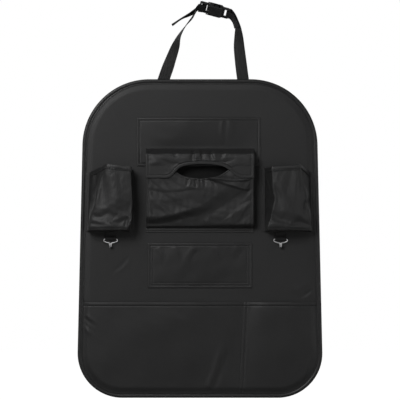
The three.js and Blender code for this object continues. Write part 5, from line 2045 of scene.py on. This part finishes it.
@dataclass
class HangingStrap:
    """The two straps and the side release buckle between them."""

    form: PanelForm
    bench: Bench
    nodes: dict[str, Object]
    origin: tuple[float, float, float] = (14.4, -4.0, 391.5)
    slope: float = 15.0
    roll: float = 58.0
    sewn_end: float = 250.0
    webbing: Webbing = Webbing()
    bar_thickness: float = 4.4
    gap: float = 0.3
    flange: float = 2.2
    slot: float = 3.5
    bar: float = 3.5
    end_bar: float = 3.0
    socket_bar: float = 33.5
    socket_bar_width: float = 4.0
    lap_spread: float = 1.75
    thread: Thread = Thread(2.6, 2.1, 0.28, 0.3)

    @property
    def on_bar(self) -> float:
        """How far the webbing's middle lies from the middle of a bar that it passes."""
        return self.bar_thickness / 2 + self.webbing.thickness / 2 + self.gap

    def axes(self) -> Array:
        """The buckle's own directions as rows: along it, across it and through it.

        Returns:
            The three directions.
        """
        slope, roll = math.radians(self.slope), math.radians(self.roll)
        along = np.array([math.cos(slope), 0, -math.sin(slope)])
        across = np.array([math.sin(slope), 0, math.cos(slope)]) * math.cos(roll)
        across = across + np.array([0, -math.sin(roll), 0])
        return np.array([along, across, np.cross(along, across)])

    def in_buckle(self, places_: Sequence[tuple[float, float]]) -> list[tuple[float, ...]]:
        """Strap stations from places along and through the buckle."""
        along, across, through = self.axes()
        origin = np.array(self.origin)
        return [(*(origin + along * u + through * v), *across) for u, v in places_]

    def build(self) -> None:
        """Builds the straps and their stitches, and finishes the buckle's two halves."""
        self._left()
        self._right()
        self._halves()

    def _left(self) -> None:
        """The adjustable strap: through the ladder and out again as a loose tail."""
        y, low = self.webbing.thickness / 2, self.sewn_end
        free = [
            (-69, y, low, 0.94, 0, -0.34),
            (-65.4, y, low + 10.5, 0.94, 0, -0.34),
            (-61.6, y, self.form.top + 0.5, 0.94, 0, -0.34),
            (-57.2, y, 284, 0.94, 0, -0.34),
            (-50.2, -0.3, 303.5, 0.86, -0.4, -0.3),
            (-42, -1.6, 326, 0.68, -0.68, -0.27),
            (-35.4, -3, 344, 0.3, -0.95, -0.12),
            (-25.5, -4.8, 360, 0.08, -1, 0),
            (-13.5, -6.6, 375, 0.08, -0.95, 0.25),
        ]
        on_bar = self.on_bar
        over = on_bar + self.webbing.thickness + self.gap
        flange_back = -self.gap - self.flange
        inner = flange_back - self.slot / 2
        bar = flange_back - self.slot - self.bar / 2
        outer = bar - self.bar / 2 - self.slot / 2
        end_front = outer - self.slot / 2
        end = end_front - self.end_bar
        through = [
            (end - 1.5, over + 1.6), (end_front, over + 0.35), (bar - 1, on_bar + 1.25),
            (inner - 0.95, on_bar), (inner, 1.2), (inner, -1.2), (inner - 1, -on_bar + 0.1),
            (bar, -on_bar - 0.2), (outer + 1, -on_bar + 0.1), (outer, -1.2), (outer, 1),
            (outer - 0.9, on_bar - 0.2), (end_front - 1.5, on_bar + 0.15), (end - 1, on_bar + 0.2),
        ]
        tail = [
            (-8.5, -8.4, 386.6, 0.12, -0.88, 0.46),
            (-17, -9.4, 381, 0.1, -0.94, 0.3),
            (-31, -10, 373.8, 0.05, -1, 0.1),
            (-47.5, -10, 362.5, 0.1, -0.98, 0.2),
        ]
        stations = np.array([*free, *self.in_buckle(through), *tail], float)
        self._strap("left_strap", stations)

    def _right(self) -> None:
        """The fixed strap: round the socket's bar and back on itself, sewn in two layers."""
        y, low, bar = self.webbing.thickness / 2, self.sewn_end, self.socket_bar
        on_bar = self.on_bar
        end = bar + self.socket_bar_width
        approach = [
            (75.6, y, low, 0.99, 0, 0.13),
            (74.5, y, low + 10.5, 0.99, 0, 0.13),
            (73.1, y, self.form.top + 0.5, 0.99, 0, 0.13),
            (71.4, y, 284, 0.99, 0, 0.13),
            (69, -0.2, 303.5, 0.97, -0.2, 0.1),
            (66.6, -1.2, 326, 0.9, -0.42, 0.08),
            (65.8, -2.4, 345, 0.7, -0.7, 0.1),
            (64.6, -3.6, 359, 0.45, -0.88, 0.15),
            (61, -4, 370.5, 0.2, -0.88, 0.42),
            *self.in_buckle([(end + 5.1, -0.2), (end + 0.4, -on_bar - 0.5)]),
        ]
        turn = self.in_buckle(
            [
                (bar + 1.2, -on_bar - 0.1), (bar - 0.4, -on_bar - 0.1), (bar - 1.5, -self.bar_thickness / 2),
                (bar - 1.6, 0), (bar - 1.5, self.bar_thickness / 2), (bar - 0.4, on_bar + 0.1),
                (bar + 1.2, on_bar + 0.1),
            ]
        )
        first = np.array([*approach, *turn], float)
        count = len(approach)
        at, across, through = self.webbing.frames(first)
        starts = np.concatenate([[0], np.cumsum(self.webbing.steps(first))])
        layer = [int(starts[i]) for i in range(count - 4, count - 1)][::-1]
        spread = on_bar + 1.9
        lap = []
        for i, row in enumerate(layer):
            lift = mix(self.lap_spread, spread, (1 - i / (len(layer) - 1)) ** 1.6)
            lap.append((*(at[row] - through[row] * lift), *across[row]))
        self._strap("right_strap", np.concatenate([first, np.array(lap)]))
        stitches = []
        for row in (layer[-1] + 2, layer[-1] + 7, layer[-1] + 12):
            reach = np.linspace(-8.0, 8.0, 12)[:, None]
            centre = at[row] - through[row] * (self.lap_spread + 0.75)
            stitches += self.thread.row(centre + across[row] * reach, np.tile(-through[row], (12, 1)))
        self.bench.sew("right_strap_lap_stitching", stitches, Slot.WEBBING)

    def _strap(self, node: str, stations: Array) -> Shape:
        """Builds one strap and the crossed box of stitches at its sewn end.

        Args:
            node: The CAD node it replaces.
            stations: Its places and directions across.

        Returns:
            The strap's shape.
        """
        shape = self.webbing.shape(*self.webbing.frames(stations))
        self.bench.place(f"{node}_webbing", shape, "webbing", Slot.WEBBING, replaces=[node])
        across, along = unit(stations[0, 3:]), unit(stations[1, :3] - stations[0, :3])
        corner = [
            stations[0, :3] + across * a * 7.5 + along * b
            for a, b in ((-1, 2), (1, 2), (1, 17), (-1, 17), (-1, 2), (1, 17), (1, 2), (-1, 17))
        ]
        tree = shape.surface()
        rows = [np.array(ends) for ends in zip(corner, corner[1:])]
        stitches = [s for row in rows for s in self.thread.on(tree, row, FRONTWARD)]
        self.bench.sew(f"{node}_sewn_box", stitches, Slot.WEBBING)
        return shape

    def _halves(self) -> None:
        """Rounds the buckle's moulded edges and gives both halves their plastic."""
        for node in ("buckle_plug", "buckle_socket"):
            piece = self.nodes[node]
            for slot in piece.material_slots:
                slot.link = "OBJECT"
                slot.material = self.bench.materials["plastic"]
            flatten = piece.modifiers.new("flat faces", "DECIMATE")
            flatten.decimate_type, flatten.angle_limit = "DISSOLVE", math.radians(1)
            rounding = piece.modifiers.new("moulded edges", "BEVEL")
            rounding.width, rounding.segments = 0.45 * MM, 3
            rounding.limit_method, rounding.angle_limit = "ANGLE", math.radians(30)
            rounding.harden_normals = True
            LOG.info("%s on %s: CAD node with moulded edges", node, ORGANIZER)


# Studio


@dataclass(frozen=True)
class Lamp:
    """A square soft lamp: where it hangs in metres, its width and its power in watts."""

    name: str
    place: tuple[float, float, float]
    size: float
    power: float


@dataclass
class Studio:
    """Camera, soft lamps, plain floor and a pale surround."""

    distance: float = 5.0
    view_width: float = 0.68
    aim: tuple[float, float] = (0.0, 0.0655)
    front: float = -0.006
    floor_height: float = -0.40
    sensor: float = 36.0
    room_ahead: tuple[float, ...] = (0.1, 0.1, 0.1, 1)
    room_aside: tuple[float, ...] = (0.07, 0.07, 0.07, 1)
    lamps: tuple[Lamp, ...] = (
        Lamp("key", (-0.85, -1.8, 0.96), 0.8, 20.0),
        Lamp("overhead", (-0.85, -0.9, 1.5), 0.8, 3.2),
        Lamp("fill", (1.25, -1.7, -0.3), 1.0, 4.0),
        Lamp("low", (0.1, -1.7, -1.0), 1.0, 23.0),
        Lamp("left", (-1.9, -0.7, 0.2), 0.8, 1.4),
        Lamp("right", (1.9, -0.7, 0.1), 0.8, 3.5),
    )

    def build(self) -> None:
        """Builds everything that isn't part of the object."""
        scene = bpy.context.scene
        scene.view_settings.view_transform = "Standard"
        self._camera(scene)
        for lamp in self.lamps:
            self._hang(lamp)
        self._world(scene)
        self._floor()

    def _camera(self, scene: Scene) -> None:
        """A camera straight in front, with the photograph's framing.

        Args:
            scene: The scene.
        """
        data = bpy.data.cameras.new("camera")
        data.sensor_width = self.sensor
        data.lens = self.sensor * self.distance / self.view_width
        camera = bpy.data.objects.new("camera", data)
        scene.collection.objects.link(camera)
        camera.location = (self.aim[0], self.front - self.distance, self.aim[1])
        camera.rotation_euler = (math.pi / 2, 0, 0)
        scene.camera = camera

    def _hang(self, lamp: Lamp) -> None:
        """Hangs a lamp that is aimed at the middle of the panel.

        Args:
            lamp: The lamp.
        """
        data = bpy.data.lights.new(lamp.name, "AREA")
        data.size, data.energy = lamp.size, lamp.power
        hung = bpy.data.objects.new(lamp.name, data)
        bpy.context.scene.collection.objects.link(hung)
        hung.location = lamp.place
        hung.rotation_euler = (-Vector(lamp.place)).to_track_quat("-Z", "Y").to_euler()

    def _world(self, scene: Scene) -> None:
        """White for the camera and behind the object, a plain grey room in front of it.

        Args:
            scene: The scene.
        """
        world = bpy.data.worlds.new("room")
        scene.world = world
        world.use_nodes = True
        world.node_tree.nodes.clear()
        g = Graph(world.node_tree)
        path = g.add("LightPath")
        way = g.add("SeparateXYZ", {0: g.add("TexCoord").outputs["Generated"]})
        behind = g.ramp(way.outputs[1], 0.4, 0.85)
        aside = g.ramp(way.outputs[1], -0.97, -0.3)
        room = g.blend(aside, self.room_ahead, self.room_aside)
        seen = g.math("ADD", path.outputs["Is Glossy Ray"], path.outputs["Is Transmission Ray"])
        mirrored = g.math("MULTIPLY", g.math("MINIMUM", seen, 1.0), behind)
        white = g.math("MAXIMUM", path.outputs["Is Camera Ray"], mirrored)
        colour = g.blend(white, room, (1, 1, 1, 1))
        shine = g.add("Background", {"Color": colour, "Strength": 1.0})
        end = g.add("OutputWorld")
        g.link(shine.outputs[0], end, 0)

    def _floor(self) -> None:
        """A pale floor below the hanging object, white to the camera except in shadow."""
        mesh = bpy.data.meshes.new("floor")
        half = 4.0
        corners = [(-half, -half), (half, -half), (half, half), (-half, half)]
        mesh.from_pydata([(x, y, self.floor_height) for x, y in corners], [], [(0, 1, 2, 3)])
        material, g, shader, at = shaded("floor")
        speck = g.ramp(g.noise(at, 40.0, 3.0), 0.3, 0.7)
        g.link(g.blend(speck, (0.3, 0.3, 0.295, 1), (0.34, 0.34, 0.335, 1)), shader, "Base Color")
        shader.inputs["Roughness"].default_value = 0.8
        path = g.add("LightPath")
        shader.inputs["Emission Color"].default_value = (1, 1, 1, 1)
        g.link(g.math("MULTIPLY", path.outputs["Is Camera Ray"], 0.95), shader, "Emission Strength")
        mesh.materials.append(material)
        floor = bpy.data.objects.new("floor", mesh)
        bpy.context.scene.collection.objects.link(floor)


# The photographed pockets' own folds, and the assembly


UPPER_CREASES = (
    Crease(((39, 203), (37, 182), (40, 160)), 0.9, 3.5, 0.8, (0.05, 0.5)),
    Crease(((48, 204), (54, 190), (52, 172)), 0.5, 5.0, 0.5, (0.05, 0.6)),
    Crease(((-90, 178), (-60, 168), (-30, 172)), 0.4, 8.0, 0.4),
)
LOWER_CREASES = (
    Crease(((-72, -14), (-66, -26), (-70, -40)), 0.7, 5.0, 0.5, (0.1, 0.7)),
    Crease(((-44, -12), (-38, -26), (-40, -44)), 0.8, 4.5, 0.7, (0.1, 0.7)),
    Crease(((-10, -14), (-20, -30), (-22, -46)), 0.8, 5.0, 0.6, (0.1, 0.7)),
    Crease(((24, -12), (32, -28), (28, -44)), 0.6, 5.0, 0.6, (0.1, 0.7)),
    Crease(((66, -12), (58, -28), (62, -40)), 0.7, 5.5, 0.5, (0.1, 0.7)),
)
LEFT_CREASES = (
    Crease(((-178, 112), (-178, 92), (-182, 74)), -2.4, 3.6, 0.0, (0.1, 0.6)),
    Crease(((-122, 42), (-124, 30), (-126, 16)), -2.0, 3.4, 0.5, (0.4, 0.2)),
    Crease(((-134, 116), (-137, 80), (-142, 30)), 1.4, 13.0),
    Crease(((-166, 112), (-172, 84), (-178, 50)), 0.9, 3.5, 0.5, (0.1, 0.5)),
    Crease(((-186, 34), (-170, 30), (-150, 36)), 0.8, 5.0, 0.6),
)
RIGHT_CREASES = (
    Crease(((126, 92), (131, 70), (126, 46)), -0.9, 5.0, -0.4),
    Crease(((166, 116), (160, 70), (154, 24)), 0.7, 4.0, 0.0, (0.1, 0.2)),
    Crease(((167, 124), (174, 92), (181, 60), (188, 26)), 0.9, 1.8, 0.0, (0.05, 0.15)),
    Crease(((140, 112), (144, 74), (138, 30)), 0.8, 10.0),
    Crease(((120, 34), (134, 26), (150, 30)), 0.7, 4.0, 0.6),
    Crease(((184, 70), (178, 48), (184, 26)), -0.8, 4.5, 0.5),
)


def build_pockets(form: PanelForm, bench: Bench) -> None:
    """Builds every pocket, from the flat ones up to the side pockets.

    Args:
        form: The panel's form.
        bench: Where the pieces are made.
    """
    PatchPocket(
        "upper_pocket", form, bench, sewn_up_to=153.0, seam=Seam(4.4, 0.6, 0.8, 0.3), swell=5.0,
        creases=UPPER_CREASES, waves=(Ripple(61, 50, 0.2),),
    ).build()
    PatchPocket(
        "lower_pocket", form, bench, second_row=8.4, swell=4.0,
        creases=LOWER_CREASES, waves=(Ripple(67, 40, 0.25),),
    ).build()
    BottomPocket(form, bench).build()
    TissuePouch(form, bench).build()
    SidePocket(
        Side.LEFT, form, bench, outer=(190.5, 157.0),
        inner=((12, 121.0), (38, 115.5), (65, 114.0), (118, 116.5)),
        ridge=(158.0, 138.0), outer_depth=(31.0, 39.0), creases=LEFT_CREASES,
        folds=(2.5, 11.0, 16.0, 4.5, 2.5),
    ).build()
    SidePocket(
        Side.RIGHT, form, bench, outer=(189.5, 168.0),
        inner=((12, 113.0), (45, 121.5), (69, 126.0), (88, 123.0), (118, 121.5)),
        ridge=(153.0, 165.0), outer_depth=(20.0, 38.0), creases=RIGHT_CREASES,
    ).build()


def main() -> None:
    """Builds the studio and every sub-assembly."""
    logging.basicConfig(level=logging.INFO, format="%(message)s", stream=sys.stdout)
    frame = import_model()
    joints = {joint["name"]: np.array(joint["pos_m"]) / MM for joint in frame["joints"]}
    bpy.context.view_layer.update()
    Studio().build()
    bench = Bench()
    form = PanelForm()
    Panel(form, bench).build()
    build_pockets(form, bench)
    for side in Side:
        WireHook(side, form, bench, joints[f"{side.label}_hook_swing"]).build()
    HangingStrap(form, bench, frame["nodes"]).build()


if __name__ == "__main__":
    main()
